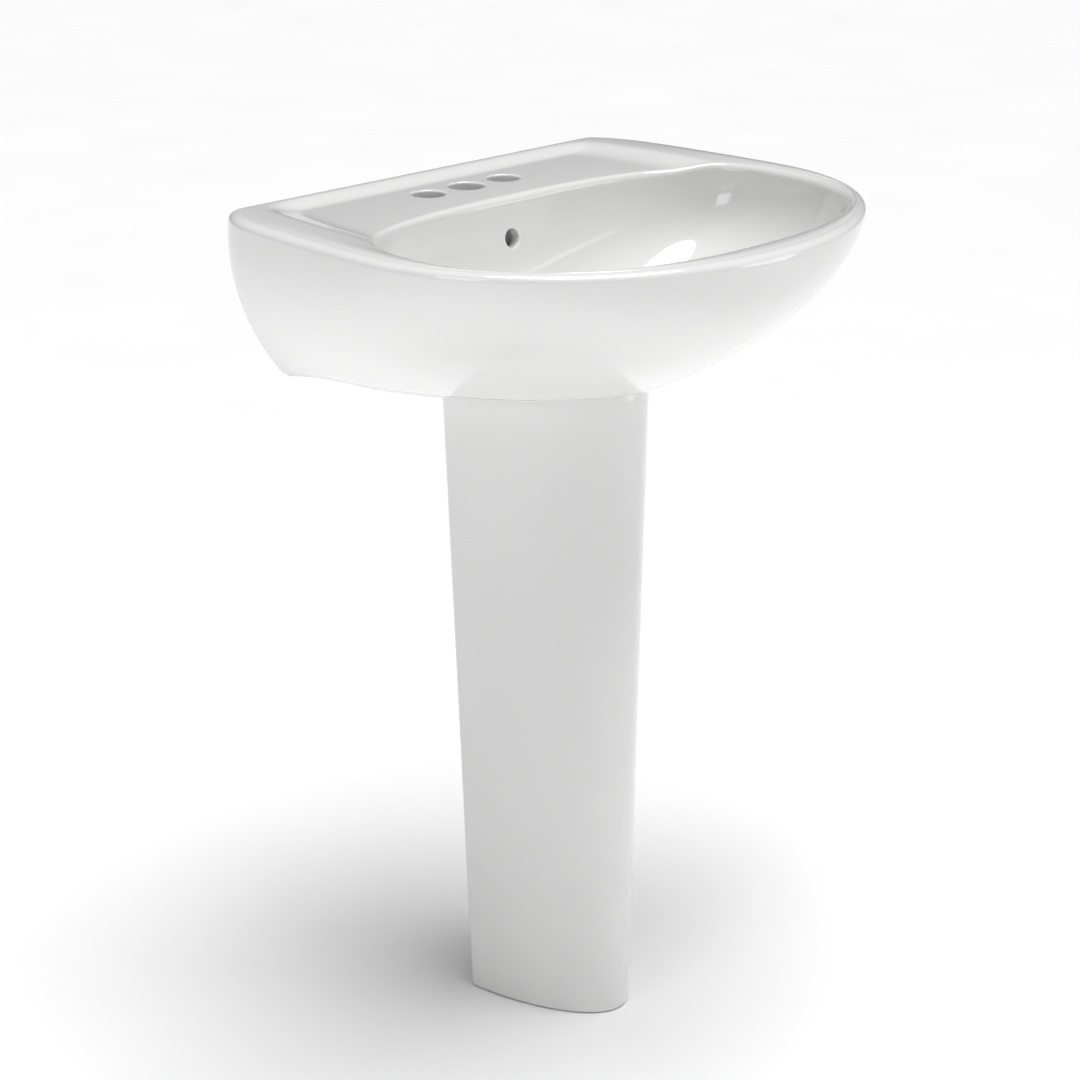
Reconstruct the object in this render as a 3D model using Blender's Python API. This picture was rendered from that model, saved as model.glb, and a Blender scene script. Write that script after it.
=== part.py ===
"""Pedestal sink in vitreous china: basin, open-backed pedestal, wall fixings and a push-open drain.

Metres, +Z up.  The floor is z = 0, the sink is symmetric about x = 0, its front faces -Y and the
wall stands at y = WALL_Y.  Depths called "out" are measured from the wall towards the front.
"""
import math

import bmesh
import bpy
from mathutils import Vector

GAP = 0.0003                    # clearance between touching pieces

# ---- basin, outside ----
RIM_HEIGHT = 0.840              # floor to the top of the rim
BASIN_WIDTH = 0.565             # widest, across the rim
BASIN_OUT = 0.470               # wall to the front of the rim
RIM_WIDEST_OUT = 0.237          # how far from the wall the rim is widest
BACK_WIDTH = 0.4954             # across the back at its widest
BACK_WIDEST_DROP = 0.029        # how far under the rim that is
BACK_TUCK = 0.060               # how far each side draws in over BACK_TUCK_DROP
BACK_TUCK_DROP = 0.144
UNDER_BOWL = 0.0256             # bowl floor to the underside at the wall
UNDERSIDE_RISE = 0.0084         # how much higher the underside is at the front
RISE_LENGTH = 0.110             # distance over which most of that rise happens
BELLY_SIDE_TUCK = 0.112         # how far the widest line draws in by the bottom
BELLY_FRONT_TUCK = 0.165        # how far the front draws in by the bottom
BELLY_WIDEST_SHIFT = 0.1545     # the widest line moves this far towards the wall
RIM_EDGE_R = 0.006              # roundover of the rim's outer edge
FOOT_EDGE_R = 0.004             # roundover of the underside's edge

# ---- basin, inside ----
CHINA = 0.011                   # wall of the china
FRONT_CHINA = 0.040             # solid front of the rim, where bowl and shell are one wall
MOUTH_WIDTH = 0.496             # bowl opening at the rim
MOUTH_BACK_OUT = 0.125          # wall to the back of the bowl opening
MOUTH_WIDEST_OUT = 0.262
MOUTH_FRONT_OUT = 0.434
MOUTH_LIP_R = 0.008             # roundover of the bowl's lip
BOWL_DEPTH = 0.150
BOWL_WIDEST_SHIFT = 0.070       # the bowl's widest line moves this far towards the wall
BOWL_POWER = 2.6                # how full the bowl's side profile is, near the rim
BOWL_CLOSING = 0.9              # the same, near its floor
BOWL_CHINA = 0.010
BOWL_FLOOR_EDGE = 0.010         # round flat of the floor beyond the drain's flange
DECK_DROP = 0.007               # tap deck below the rim
DECK_BORDER = 0.060             # outer edge to the middle of the slope down to the tap deck
DECK_BACK_BORDER = 0.021        # the same, from the wall
DECK_SLOPE = 0.014              # half the width of that slope at the sides
DECK_BACK_SLOPE = 0.008         # the same, along the wall
DECK_CHINA = 0.013
TAP_HOLE_PITCH = 0.0508
TAP_HOLE_R = 0.0165
TAP_CENTRE_HOLE_R = 0.0180
TAP_HOLE_OUT = 0.0638
OVERFLOW_HOLE_R = 0.0092
OVERFLOW_DROP = 0.0486
DUCT_WIDTH = 0.026
DUCT_DEPTH = 0.010
DUCT_CHINA = 0.006

# ---- pedestal ----
PED_OUT = 0.1367                # wall to the pedestal's back edges
PED_FOOT_WIDTH = 0.1496
PED_FOOT_DEPTH = 0.1447
PED_TOP_WIDTH = 0.2150
PED_TOP_DEPTH = 0.1520
PED_TUCK = 0.0125               # how far its top reaches above the underside at the wall
PED_CHINA = 0.011
PED_EDGE_R = 0.003
SOCKET_SLACK = 0.0015           # room round the pedestal's top in the basin
SOCKET_WALL = 0.010             # china either side of that socket
FOOT_WEB_H = 0.014              # web across the foot, with the floor screw's hole
FOOT_WEB_BACK = 0.055           # from the pedestal's back edges to the web
FLOOR_HOLE_R = 0.0065

# ---- drain ----
DRAIN_OUT = 0.225               # wall to the drain's axis
BODY_R = 0.0208                 # outside of the threaded tube
BODY_WALL = 0.0035
BODY_LENGTH = 0.080
DRAIN_HOLE_SLACK = 0.00145      # china round the tube
BOSS_WALL = 0.0158              # china beyond the drain hole
BOSS_DEPTH = 0.041              # china at the drain, bowl floor to boss face
FLANGE_WIDTH = 0.0112           # beyond the tube
FLANGE_T = 0.002                # rim of the flange, and how much its ring stands above it
FLANGE_RING = 0.0015            # width of the flat ring round the seat
RECESS_DEPTH = 0.003
RECESS_SLACK = 0.001            # china round the flange
SEAT_WIDTH = 0.0062             # top of the conical seat beyond the tube
SEAT_DEPTH = 0.0045
CHAMBER_WIDTH = 0.00675         # ring chamber that takes the overflow, beyond the drain hole
CHAMBER_TOP = 0.013             # below the bowl floor
CHAMBER_H = 0.016
WINDOW_W = 0.014                # overflow windows in the tube
SEAL_T = 0.0014
SEAL_INSET = 0.0005             # seal inside the flange's edge
GASKET_WIDTH = 0.0092           # beyond the tube
GASKET_H = 0.014
GASKET_LIP = 0.004
WASHER_T = 0.002
LOCKNUT_WIDTH = 0.0112          # beyond the tube
LOCKNUT_H = 0.009
TAIL_THREAD_SLACK = 0.0005      # thread inside the tube's bore
TAIL_STEP = 0.0009              # thread to plain tube
TAIL_WALL = 0.0012
TAIL_LENGTH = 0.180             # below the drain body
TAIL_SHOULDER_WIDTH = 0.0032    # beyond the thread
TAIL_SHOULDER_H = 0.005
TAIL_THREAD_H = 0.012
TAIL_GASKET_T = 0.002

# ---- stopper ----
STOPPER_TRAVEL = 0.009
CAP_INSET = 0.0050              # cap inside the top of the seat
CAP_T = 0.0030
CAP_DOME = 0.0016
CAP_HUB_R = 0.0065
CAP_HUB_H = 0.0080
CAP_SEAT_GAP = 0.0020           # shut: from the seat's edge level down to the cap's underside
CAP_SEAL_INSET = 0.0025         # seal inside the cap
CAP_SEAL_T = 0.0020
STEM_R = 0.0026
STEM_COLLAR_R = 0.0046
STEM_COLLAR_H = 0.0025
SPIDER_DROP = 0.044             # bowl floor to the top of the cross arms
SPIDER_H = 0.006
SPIDER_ARM = 0.003
HUB_R = 0.0065
CARTRIDGE_R = 0.0075
CARTRIDGE_BORE_R = 0.0051
CARTRIDGE_H = 0.031
CARTRIDGE_FLOOR = 0.003
CARTRIDGE_LIP = 0.002
STEM_SLACK = 0.0003
SPRING_R = 0.0040               # middle of the wire
SPRING_WIRE = 0.0004            # radius of the wire
SPRING_TURNS = 6

# ---- wall fixings ----
BOLT_SPACING = 0.200
BOLT_DROP = 0.066               # below the rim
BOLT_R = 0.004
BOLT_IN_WALL = 0.045
BOLT_TIP = 0.010
BOLT_PROUD = 0.008              # beyond the nut
SLEEVE_R = 0.0066
SLEEVE_COLLAR_R = 0.0105
SLEEVE_COLLAR_T = 0.0025
PANEL_HOLE_R = 0.0069
BOLT_WASHER_R = 0.0130
BOLT_WASHER_T = 0.0016
NUT_AF = 0.0130
NUT_H = 0.0065

# ---- worked out from the sizes above ----
WALL_Y = (BASIN_OUT - BOLT_IN_WALL) / 2.0
BASIN_DROP = BOWL_DEPTH + UNDER_BOWL        # rim to the underside at the wall
DRAIN_HOLE_R = BODY_R + DRAIN_HOLE_SLACK
BOSS_R = DRAIN_HOLE_R + BOSS_WALL
CHAMBER_R = DRAIN_HOLE_R + CHAMBER_WIDTH
BODY_BORE_R = BODY_R - BODY_WALL
FLANGE_R = BODY_R + FLANGE_WIDTH
BOWL_FLOOR_R = FLANGE_R + BOWL_FLOOR_EDGE
SEAT_R = BODY_R + SEAT_WIDTH
GASKET_R = BODY_R + GASKET_WIDTH
LOCKNUT_R = BODY_R + LOCKNUT_WIDTH
TAIL_THREAD_R = BODY_BORE_R - TAIL_THREAD_SLACK
TAIL_R = TAIL_THREAD_R - TAIL_STEP
TAIL_BORE_R = TAIL_R - TAIL_WALL
TAIL_SHOULDER_R = TAIL_THREAD_R + TAIL_SHOULDER_WIDTH
CAP_R = SEAT_R - CAP_INSET
CAP_SEAL_R = CAP_R - CAP_SEAL_INSET
FLOOR_Z = RIM_HEIGHT - BOWL_DEPTH           # bowl floor at the drain
BOSS_Z = FLOOR_Z - BOSS_DEPTH
BELLY_Z = RIM_HEIGHT - BASIN_DROP
PED_TOP_Z = BELLY_Z + PED_TUCK
SEAT_Z = PED_TOP_Z + GAP                    # face in the basin that rests on the pedestal
DECK_Z = RIM_HEIGHT - DECK_DROP
FLANGE_Z = FLOOR_Z - RECESS_DEPTH + 2 * GAP + SEAL_T
FLANGE_TOP = FLANGE_Z + 2 * FLANGE_T
BODY_END_Z = FLOOR_Z - BODY_LENGTH
SPIDER_Z = FLOOR_Z - SPIDER_DROP
BOLT_Z = RIM_HEIGHT - BOLT_DROP
DRAIN = Vector((0.0, WALL_Y - DRAIN_OUT, 0.0))

SIDE_POINTS = 8
FRONT_POINTS = 14


def start_clean():
    """Empty the scene and set metres."""
    for obj in list(bpy.data.objects):
        bpy.data.objects.remove(obj, do_unlink=True)
    bpy.context.scene.unit_settings.system = 'METRIC'


def material(name, colour, roughness, metallic=0.0):
    """A Principled material of one finish."""
    mat = bpy.data.materials.get(name) or bpy.data.materials.new(name)
    mat.use_nodes = True
    shader = mat.node_tree.nodes["Principled BSDF"]
    shader.inputs["Base Color"].default_value = (*colour, 1.0)
    shader.inputs["Roughness"].default_value = roughness
    shader.inputs["Metallic"].default_value = metallic
    return mat


def china():
    return material("glazed_china", (0.90, 0.90, 0.90), 0.08)


def brass():
    return material("brass", (0.72, 0.55, 0.27), 0.35, 1.0)


def chrome():
    return material("chrome", (0.80, 0.81, 0.82), 0.10, 1.0)


def zinc():
    return material("zinc_steel", (0.62, 0.63, 0.64), 0.40, 1.0)


def rubber():
    return material("black_rubber", (0.03, 0.03, 0.03), 0.75)


def nylon():
    return material("white_nylon", (0.85, 0.85, 0.82), 0.45)


def finish_mesh(name, bm, mat, cutter=False):
    """Make the object, faces pointing out, shaded smooth up to 35 degrees."""
    bmesh.ops.remove_doubles(bm, verts=bm.verts, dist=1e-6)
    bmesh.ops.recalc_face_normals(bm, faces=bm.faces)
    mesh = bpy.data.meshes.new(name)
    bm.to_mesh(mesh)
    bm.free()
    mesh.shade_smooth()
    mesh.set_sharp_from_angle(angle=math.radians(35))
    obj = bpy.data.objects.new(name, mesh)
    bpy.context.scene.collection.objects.link(obj)
    if cutter:
        obj.hide_render = True
        obj.display_type = 'WIRE'
    else:
        mesh.materials.append(mat)
    return obj


def boolean(obj, other, operation):
    """An exact Boolean that stays live on the object."""
    mod = obj.modifiers.new(other.name, 'BOOLEAN')
    mod.operation = operation
    mod.solver = 'EXACT'
    mod.object = other


# ---- profiles of revolution ----

def turned(name, profile, mat, axis_at, axis='Z', segments=32, cutter=False):
    """Turn a closed (radius, height) outline round an axis through axis_at."""
    bm = bmesh.new()
    rings = []
    for radius, height in profile:
        if radius < 1e-7:
            rings.append([bm.verts.new((0.0, 0.0, height))])
            continue
        ring = []
        for i in range(segments):
            angle = 2 * math.pi * i / segments
            ring.append(bm.verts.new((radius * math.cos(angle), radius * math.sin(angle), height)))
        rings.append(ring)
    for k in range(len(rings)):
        join_rings(bm, rings[k], rings[(k + 1) % len(rings)])
    obj = finish_mesh(name, bm, mat, cutter)
    lay_along(obj.data, axis)
    obj.location = axis_at
    return obj


def join_rings(bm, lower, upper):
    """Faces between two rings, either of which may be a single point."""
    if len(lower) == 1 and len(upper) == 1:
        return
    count = max(len(lower), len(upper))
    for i in range(count):
        j = (i + 1) % count
        low_a, low_b = lower[i % len(lower)], lower[j % len(lower)]
        high_a, high_b = upper[i % len(upper)], upper[j % len(upper)]
        bm.faces.new(list(dict.fromkeys((low_a, low_b, high_b, high_a))))


def lay_along(mesh, axis):
    """Turn a mesh made along +Z so that it runs along -Y, out of the wall."""
    if axis == 'Y':
        for vert in mesh.vertices:
            x, y, z = vert.co
            vert.co = (x, -z, y)


def tube_profile(inner, outer, low, high):
    return [(inner, low), (outer, low), (outer, high), (inner, high)]


def rod_profile(radius, low, high):
    return [(0.0, low), (radius, low), (radius, high), (0.0, high)]


# ---- lofted outlines ----

def half_outline(width, out, widest_out, back_width, start_out, side_power, side_share, front_power):
    """Right half of a D outline, from the wall round to the front tip, as (x, out) points."""
    points = []
    for i in range(SIDE_POINTS):
        u = (i / SIDE_POINTS) ** 1.6
        flare = side_share * (1 - (1 - u) ** side_power) + (1 - side_share) * math.sin(math.pi * u / 2) ** 2
        x = back_width + (width - back_width) * flare
        points.append((x, start_out + (widest_out - start_out) * u))
    points += front_arc(width, widest_out, out - widest_out, front_power)
    return points


def front_arc(width, start_out, depth, power, tip_power=None):
    """Superellipse quarter from the side (width, start_out) to the tip, whose own power may differ."""
    points = []
    for i in range(FRONT_POINTS + 1):
        angle = math.pi / 2 * i / FRONT_POINTS
        x = width * math.cos(angle) ** (2 / (tip_power or power)) if i < FRONT_POINTS else 0.0
        points.append((x, start_out + depth * math.sin(angle) ** (2 / power)))
    return points


def mirrored(half, heights):
    """Whole ring in world space from a right half and one height per point."""
    ring = [Vector((x, WALL_Y - out, z)) for (x, out), z in zip(half, heights)]
    left = [Vector((-p.x, p.y, p.z)) for p in reversed(ring[:-1])]
    return ring + left


def loft(name, rings, mat=None, cutter=False):
    """Closed solid through rings that are mirrored about x = 0; ends are capped in strips."""
    bm = bmesh.new()
    rows = [[bm.verts.new(p) for p in ring] for ring in rings]
    count = len(rows[0])
    for lower, upper in zip(rows, rows[1:]):
        for i in range(count):
            j = (i + 1) % count
            bm.faces.new((lower[i], lower[j], upper[j], upper[i]))
    for row in (rows[0], rows[-1]):
        for i in range((count - 1) // 2):
            strip = [row[i], row[i + 1], row[count - 2 - i], row[count - 1 - i]]
            bm.faces.new(list(dict.fromkeys(strip)))
    return finish_mesh(name, bm, mat, cutter)


def back_half_width(drop):
    """Half width of the basin's back panel at a drop under the rim."""
    return BACK_WIDTH / 2 - BACK_TUCK * ((drop - BACK_WIDEST_DROP) / BACK_TUCK_DROP) ** 2


def shell_half(share, inset=0.0, front_inset=None):
    """Right half of the basin's outside at a share of its drop (0 rim, 1 underside), drawn in by inset."""
    if front_inset is None:
        front_inset = inset
    width = BASIN_WIDTH / 2 - BELLY_SIDE_TUCK * share ** 1.97 - inset
    out = BASIN_OUT - BELLY_FRONT_TUCK * share ** 2.19 - front_inset
    widest_out = RIM_WIDEST_OUT - BELLY_WIDEST_SHIFT * share
    back = back_half_width(share * BASIN_DROP) - inset
    front_power = 2.04 - 0.37 * share + 0.43 * share * (1 - share)
    return half_outline(width, out, widest_out, back, inset, 7.9 - 3.04 * share, 0.7, front_power)


def shell_heights(half, share, lift=0.0):
    """Height of each point of such an outline; the underside rises away from the wall."""
    heights = []
    for _, out in half:
        drop = BASIN_DROP - UNDERSIDE_RISE * (1 - math.exp(-max(out, 0.0) / RISE_LENGTH))
        heights.append(RIM_HEIGHT - share * drop + lift)
    return heights


def mouth_half(outset=0.0, share=0.0):
    """Right half of the bowl's outline, from the back's middle round to the front tip.

    With its share of the bowl's depth it grows rounder in front and its widest line moves back.
    """
    width = MOUTH_WIDTH / 2
    front_power = 2.35 - 0.7 * share
    widest_out = MOUTH_WIDEST_OUT - BOWL_WIDEST_SHIFT * share
    back_depth = widest_out - MOUTH_BACK_OUT
    points = []
    for i in range(FRONT_POINTS):
        angle = math.pi / 2 * i / FRONT_POINTS
        x = width * math.sin(angle) ** (2 / 2.9)
        points.append((x, widest_out - back_depth * math.cos(angle) ** (2 / 2.9)))
    points += front_arc(width, widest_out, MOUTH_FRONT_OUT - widest_out, front_power)
    grown = []
    for x, out in points:
        reach = math.hypot(x, out - DRAIN_OUT)
        grow = 1 + outset / reach
        grown.append((x * grow, DRAIN_OUT + (out - DRAIN_OUT) * grow))
    return grown


def bowl_reach(length, share, outset):
    """Drain axis to the bowl's wall at a share of its depth, where the mouth's line is length away."""
    floor_r = BOWL_FLOOR_R + outset
    return floor_r + (length - floor_r) * max(0.0, 1 - share ** BOWL_POWER) ** BOWL_CLOSING


def bowl_ring(share, outset=0.0):
    """Bowl outline at a share of its depth; it turns from the mouth's shape to a circle at the floor."""
    points = []
    for x, out in mouth_half(outset, share):
        away = out - DRAIN_OUT
        length = math.hypot(x, away)
        radius = bowl_reach(length, share, outset)
        points.append((x / length * radius, DRAIN_OUT + away / length * radius))
    depth = BOWL_DEPTH + outset
    return mirrored_open(points, RIM_HEIGHT - share * depth)


def mirrored_open(half, z):
    """Ring whose first point already lies on x = 0 as its last one does."""
    right = [Vector((x, WALL_Y - out, z)) for x, out in half]
    left = [Vector((-p.x, p.y, p.z)) for p in reversed(right[1:-1])]
    return right + left


def open_loft(name, rings):
    """Closed cutter through rings made by mirrored_open, with flat ends."""
    bm = bmesh.new()
    rows = [[bm.verts.new(p) for p in ring] for ring in rings]
    count = len(rows[0])
    for lower, upper in zip(rows, rows[1:]):
        for i in range(count):
            j = (i + 1) % count
            bm.faces.new((lower[i], lower[j], upper[j], upper[i]))
    bm.faces.new(rows[0])
    bm.faces.new(rows[-1])
    return finish_mesh(name, bm, None, cutter=True)


# ---- basin ----

SHARES = (0.12, 0.24, 0.36, 0.47, 0.58, 0.68, 0.77, 0.85, 0.92)


def outer_shell():
    """The basin's outside as one solid, with its rim's and underside's edges rounded."""
    rings = []
    for step in range(4):
        angle = math.pi / 2 * step / 3
        inset = RIM_EDGE_R * (1 - math.sin(angle))
        drop = RIM_EDGE_R * (1 - math.cos(angle))
        half = shell_half(drop / BASIN_DROP, inset)
        rings.append(mirrored(half, shell_heights(half, drop / BASIN_DROP)))
    for share in SHARES:
        half = shell_half(share)
        rings.append(mirrored(half, shell_heights(half, share)))
    for step in range(3):
        angle = math.pi / 2 * step / 2
        inset = FOOT_EDGE_R * (1 - math.cos(angle))
        half = shell_half(1.0, inset)
        rings.append(mirrored(half, shell_heights(half, 1.0, FOOT_EDGE_R * (1 - math.sin(angle)))))
    return loft("basin", rings, china())


def underside_hollow():
    """The hollow under the deck and round the bowl, inside the outer shell."""
    top_share = (DECK_DROP + DECK_CHINA) / BASIN_DROP
    rings = []
    for step in range(9):
        share = top_share + (1.0 - top_share) * step / 8
        half = shell_half(share, CHINA, FRONT_CHINA)
        rings.append(mirrored(half, shell_heights(half, share, CHINA * share)))
    return loft("hollow_cutter", rings, cutter=True)


def d_prism(name, half, low, high):
    """Upright prism on a half outline, as a cutter."""
    rings = [mirrored(half, [z] * len(half)) for z in (low, high)]
    return loft(name, rings, cutter=True)


def pedestal_half(z, inset=0.0, back_out=None):
    """Right half of the pedestal's outline at a height, from its back edge to the front tip."""
    share = z / PED_TOP_Z
    width = (PED_FOOT_WIDTH + (PED_TOP_WIDTH - PED_FOOT_WIDTH) * share) / 2 - inset
    depth = PED_FOOT_DEPTH + (PED_TOP_DEPTH - PED_FOOT_DEPTH) * share - inset
    arc = front_arc(width, PED_OUT, depth, 1.57 - 0.20 * share, 2.0)
    return arc if back_out is None else [(width, back_out)] + arc


def u_solid(name, sections, mat=None, cutter=False):
    """Closed solid through U sections, each an (outer ring, inner ring) pair open at the back."""
    bm = bmesh.new()
    rows = []
    for outer, inner in sections:
        rows.append(([bm.verts.new(p) for p in outer], [bm.verts.new(p) for p in inner]))
    count = len(rows[0][0])
    for (outer_a, inner_a), (outer_b, inner_b) in zip(rows, rows[1:]):
        for i in range(count - 1):
            bm.faces.new((outer_a[i], outer_a[i + 1], outer_b[i + 1], outer_b[i]))
            bm.faces.new((inner_a[i], inner_b[i], inner_b[i + 1], inner_a[i + 1]))
        bm.faces.new((inner_a[0], outer_a[0], outer_b[0], inner_b[0]))
        bm.faces.new((outer_a[-1], inner_a[-1], inner_b[-1], outer_b[-1]))
    for outer, inner in (rows[0], rows[-1]):
        for i in range(count - 1):
            bm.faces.new((outer[i], outer[i + 1], inner[i + 1], inner[i]))
    return finish_mesh(name, bm, mat, cutter)


def u_section(z, outer_inset, inner_inset, extend=0.0):
    """Outer and inner rings of the pedestal's wall at a height, optionally run back by extend."""
    rings = []
    for inset in (outer_inset, inner_inset):
        half = pedestal_half(z, inset, PED_OUT - extend if extend else None)
        rings.append(mirrored(half, [z] * len(half)))
    return rings


def overflow_path():
    """Middle line of the overflow duct behind the bowl, as (out, z), from its top to the drain."""
    wall_gap = BOWL_CHINA + DUCT_DEPTH / 2
    top = RIM_HEIGHT - OVERFLOW_DROP + 2 * OVERFLOW_HOLE_R
    back = DRAIN_OUT - MOUTH_BACK_OUT + wall_gap
    points = [(MOUTH_BACK_OUT - wall_gap, top)]
    for share in (0.36, 0.48, 0.60, 0.70, 0.79, 0.87):
        reach = bowl_reach(back, share, wall_gap)
        points.append((DRAIN_OUT - reach, RIM_HEIGHT - share * (BOWL_DEPTH + wall_gap)))
    points.append((DRAIN_OUT - CHAMBER_R - 0.006, FLOOR_Z - CHAMBER_TOP - CHAMBER_H / 2))
    points.append((DRAIN_OUT - CHAMBER_R + 0.004, FLOOR_Z - CHAMBER_TOP - CHAMBER_H / 2))
    return points


def duct(name, width, depth):
    """Rectangular duct swept down the overflow path, as a cutter."""
    path = overflow_path()
    rows = []
    for i, (out, z) in enumerate(path):
        before = path[max(i - 1, 0)]
        after = path[min(i + 1, len(path) - 1)]
        run = Vector((after[0] - before[0], after[1] - before[1])).normalized()
        side = Vector((-run.y, run.x)) * depth / 2
        corners = []
        for x, sign in ((width / 2, 1), (-width / 2, 1), (-width / 2, -1), (width / 2, -1)):
            corners.append(Vector((x, WALL_Y - out - sign * side.x, z + sign * side.y)))
        rows.append(corners)
    bm = bmesh.new()
    verts = [[bm.verts.new(p) for p in row] for row in rows]
    for lower, upper in zip(verts, verts[1:]):
        for i in range(4):
            j = (i + 1) % 4
            bm.faces.new((lower[i], lower[j], upper[j], upper[i]))
    bm.faces.new(verts[0])
    bm.faces.new(verts[-1])
    return finish_mesh(name, bm, None, cutter=True)


def bowl_cutter():
    """The bowl's hollow, flared at its lip."""
    rings = [mirrored_open(mouth_half(MOUTH_LIP_R + 0.001), RIM_HEIGHT + 0.004)]
    for step in range(4):
        angle = math.pi / 2 * step / 3
        outset = MOUTH_LIP_R * (1 - math.sin(angle))
        rings.append(mirrored_open(mouth_half(outset), RIM_HEIGHT - MOUTH_LIP_R * (1 - math.cos(angle))))
    for share in (0.2, 0.36, 0.5, 0.62, 0.72, 0.8, 0.87, 0.93, 0.97, 1.0):
        rings.append(bowl_ring(share))
    return open_loft("bowl_cutter", rings)


def bowl_body():
    """The bowl with its wall, kept when the hollow is cut."""
    rings = [mirrored_open(mouth_half(BOWL_CHINA), RIM_HEIGHT + 0.002)]
    for share in (0.2, 0.36, 0.5, 0.62, 0.72, 0.8, 0.87, 0.93, 0.97, 1.0):
        rings.append(bowl_ring(share, BOWL_CHINA))
    return open_loft("bowl_body", rings)


def deck_cutter():
    """The shallow recess behind the bowl that the tap holes stand in."""
    rings = []
    for z, ease in ((RIM_HEIGHT + 0.002, -1.1), (RIM_HEIGHT, -1.0), (DECK_Z, 1.0)):
        inset = DECK_BORDER + DECK_SLOPE * ease
        half = half_outline(BASIN_WIDTH / 2 - inset, BASIN_OUT, MOUTH_WIDEST_OUT, BACK_WIDTH / 2 - inset,
                            DECK_BACK_BORDER + DECK_BACK_SLOPE * ease, 7.7, 0.7, 2.0)
        half = half[:SIDE_POINTS + 1] + [(0.0, MOUTH_WIDEST_OUT + 0.01)]
        rings.append(mirrored(half, [z] * len(half)))
    return loft("deck_cutter", rings, cutter=True)


def basin():
    """The basin: shell, bowl, tap deck, overflow duct, drain boss, pedestal socket, bolt holes."""
    body = outer_shell()
    boss_profile = rod_profile(BOSS_R, BOSS_Z, FLOOR_Z - BOWL_CHINA / 2)
    boss = turned("drain_boss", boss_profile, None, DRAIN, cutter=True)
    boolean(body, boss, 'UNION')

    hollow = underside_hollow()
    inner_half = pedestal_half(PED_TOP_Z, PED_CHINA + SOCKET_SLACK, -0.005)
    boolean(hollow, d_prism("pipe_opening", inner_half, BOSS_Z - 0.02, BELLY_Z + 0.045), 'UNION')
    boolean(hollow, bowl_body(), 'DIFFERENCE')
    boss_keep = rod_profile(BOSS_R + 0.001, BOSS_Z - 0.001, FLOOR_Z)
    boolean(hollow, turned("boss_keep", boss_keep, None, DRAIN, cutter=True), 'DIFFERENCE')
    socket_wall = [u_section(z, -SOCKET_SLACK - SOCKET_WALL, PED_CHINA + SOCKET_SLACK + SOCKET_WALL)
                   for z in (BOSS_Z - 0.03, FLOOR_Z)]
    boolean(hollow, u_solid("socket_wall", socket_wall, cutter=True), 'DIFFERENCE')
    duct_body = duct("duct_body", DUCT_WIDTH + 2 * DUCT_CHINA, DUCT_DEPTH + 2 * DUCT_CHINA)
    boolean(hollow, duct_body, 'DIFFERENCE')
    boolean(body, hollow, 'DIFFERENCE')

    boolean(body, bowl_cutter(), 'DIFFERENCE')
    boolean(body, deck_cutter(), 'DIFFERENCE')
    socket = [u_section(z, -SOCKET_SLACK, PED_CHINA + SOCKET_SLACK, SOCKET_SLACK)
              for z in (BOSS_Z - 0.03, SEAT_Z)]
    boolean(body, u_solid("pedestal_socket", socket, cutter=True), 'DIFFERENCE')

    for number in (-1, 0, 1):
        radius = TAP_CENTRE_HOLE_R if number == 0 else TAP_HOLE_R
        spot = (number * TAP_HOLE_PITCH, WALL_Y - TAP_HOLE_OUT, 0.0)
        low = DECK_Z - 2 * DECK_CHINA
        profile = [(0.0, low), (radius, low), (radius, DECK_Z - 0.0015), (radius + 0.0025, DECK_Z + 0.001),
                   (0.0, DECK_Z + 0.001)]
        boolean(body, turned(f"tap_hole_{number + 2}", profile, None, spot, cutter=True), 'DIFFERENCE')

    hole = turned("overflow_hole", rod_profile(OVERFLOW_HOLE_R, 0.0, 0.045), None,
                  (0.0, WALL_Y - MOUTH_BACK_OUT + BOWL_CHINA + DUCT_DEPTH / 2, RIM_HEIGHT - OVERFLOW_DROP),
                  'Y', 22, True)
    boolean(body, hole, 'DIFFERENCE')
    boolean(body, duct("duct_bore", DUCT_WIDTH, DUCT_DEPTH), 'DIFFERENCE')
    chamber_top = FLOOR_Z - CHAMBER_TOP
    chamber_low = chamber_top - CHAMBER_H
    recess = FLOOR_Z - RECESS_DEPTH
    recess_r = FLANGE_R + RECESS_SLACK
    drain_profile = [(0.0, BOSS_Z - 0.001), (DRAIN_HOLE_R, BOSS_Z - 0.001), (DRAIN_HOLE_R, chamber_low),
                     (CHAMBER_R, chamber_low), (CHAMBER_R, chamber_top), (DRAIN_HOLE_R, chamber_top),
                     (DRAIN_HOLE_R, recess), (recess_r, recess), (recess_r + RECESS_SLACK, FLOOR_Z + 0.001),
                     (0.0, FLOOR_Z + 0.001)]
    boolean(body, turned("drain_hole", drain_profile, None, DRAIN, segments=44, cutter=True), 'DIFFERENCE')
    for side in (-1, 1):
        spot = (side * BOLT_SPACING / 2, WALL_Y + 0.001, BOLT_Z)
        bolt_hole = turned(f"bolt_hole_{side}", rod_profile(PANEL_HOLE_R, 0.0, CHINA + 0.004), None, spot,
                           'Y', 24, True)
        boolean(body, bolt_hole, 'DIFFERENCE')
    return body


# ---- pedestal ----

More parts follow.
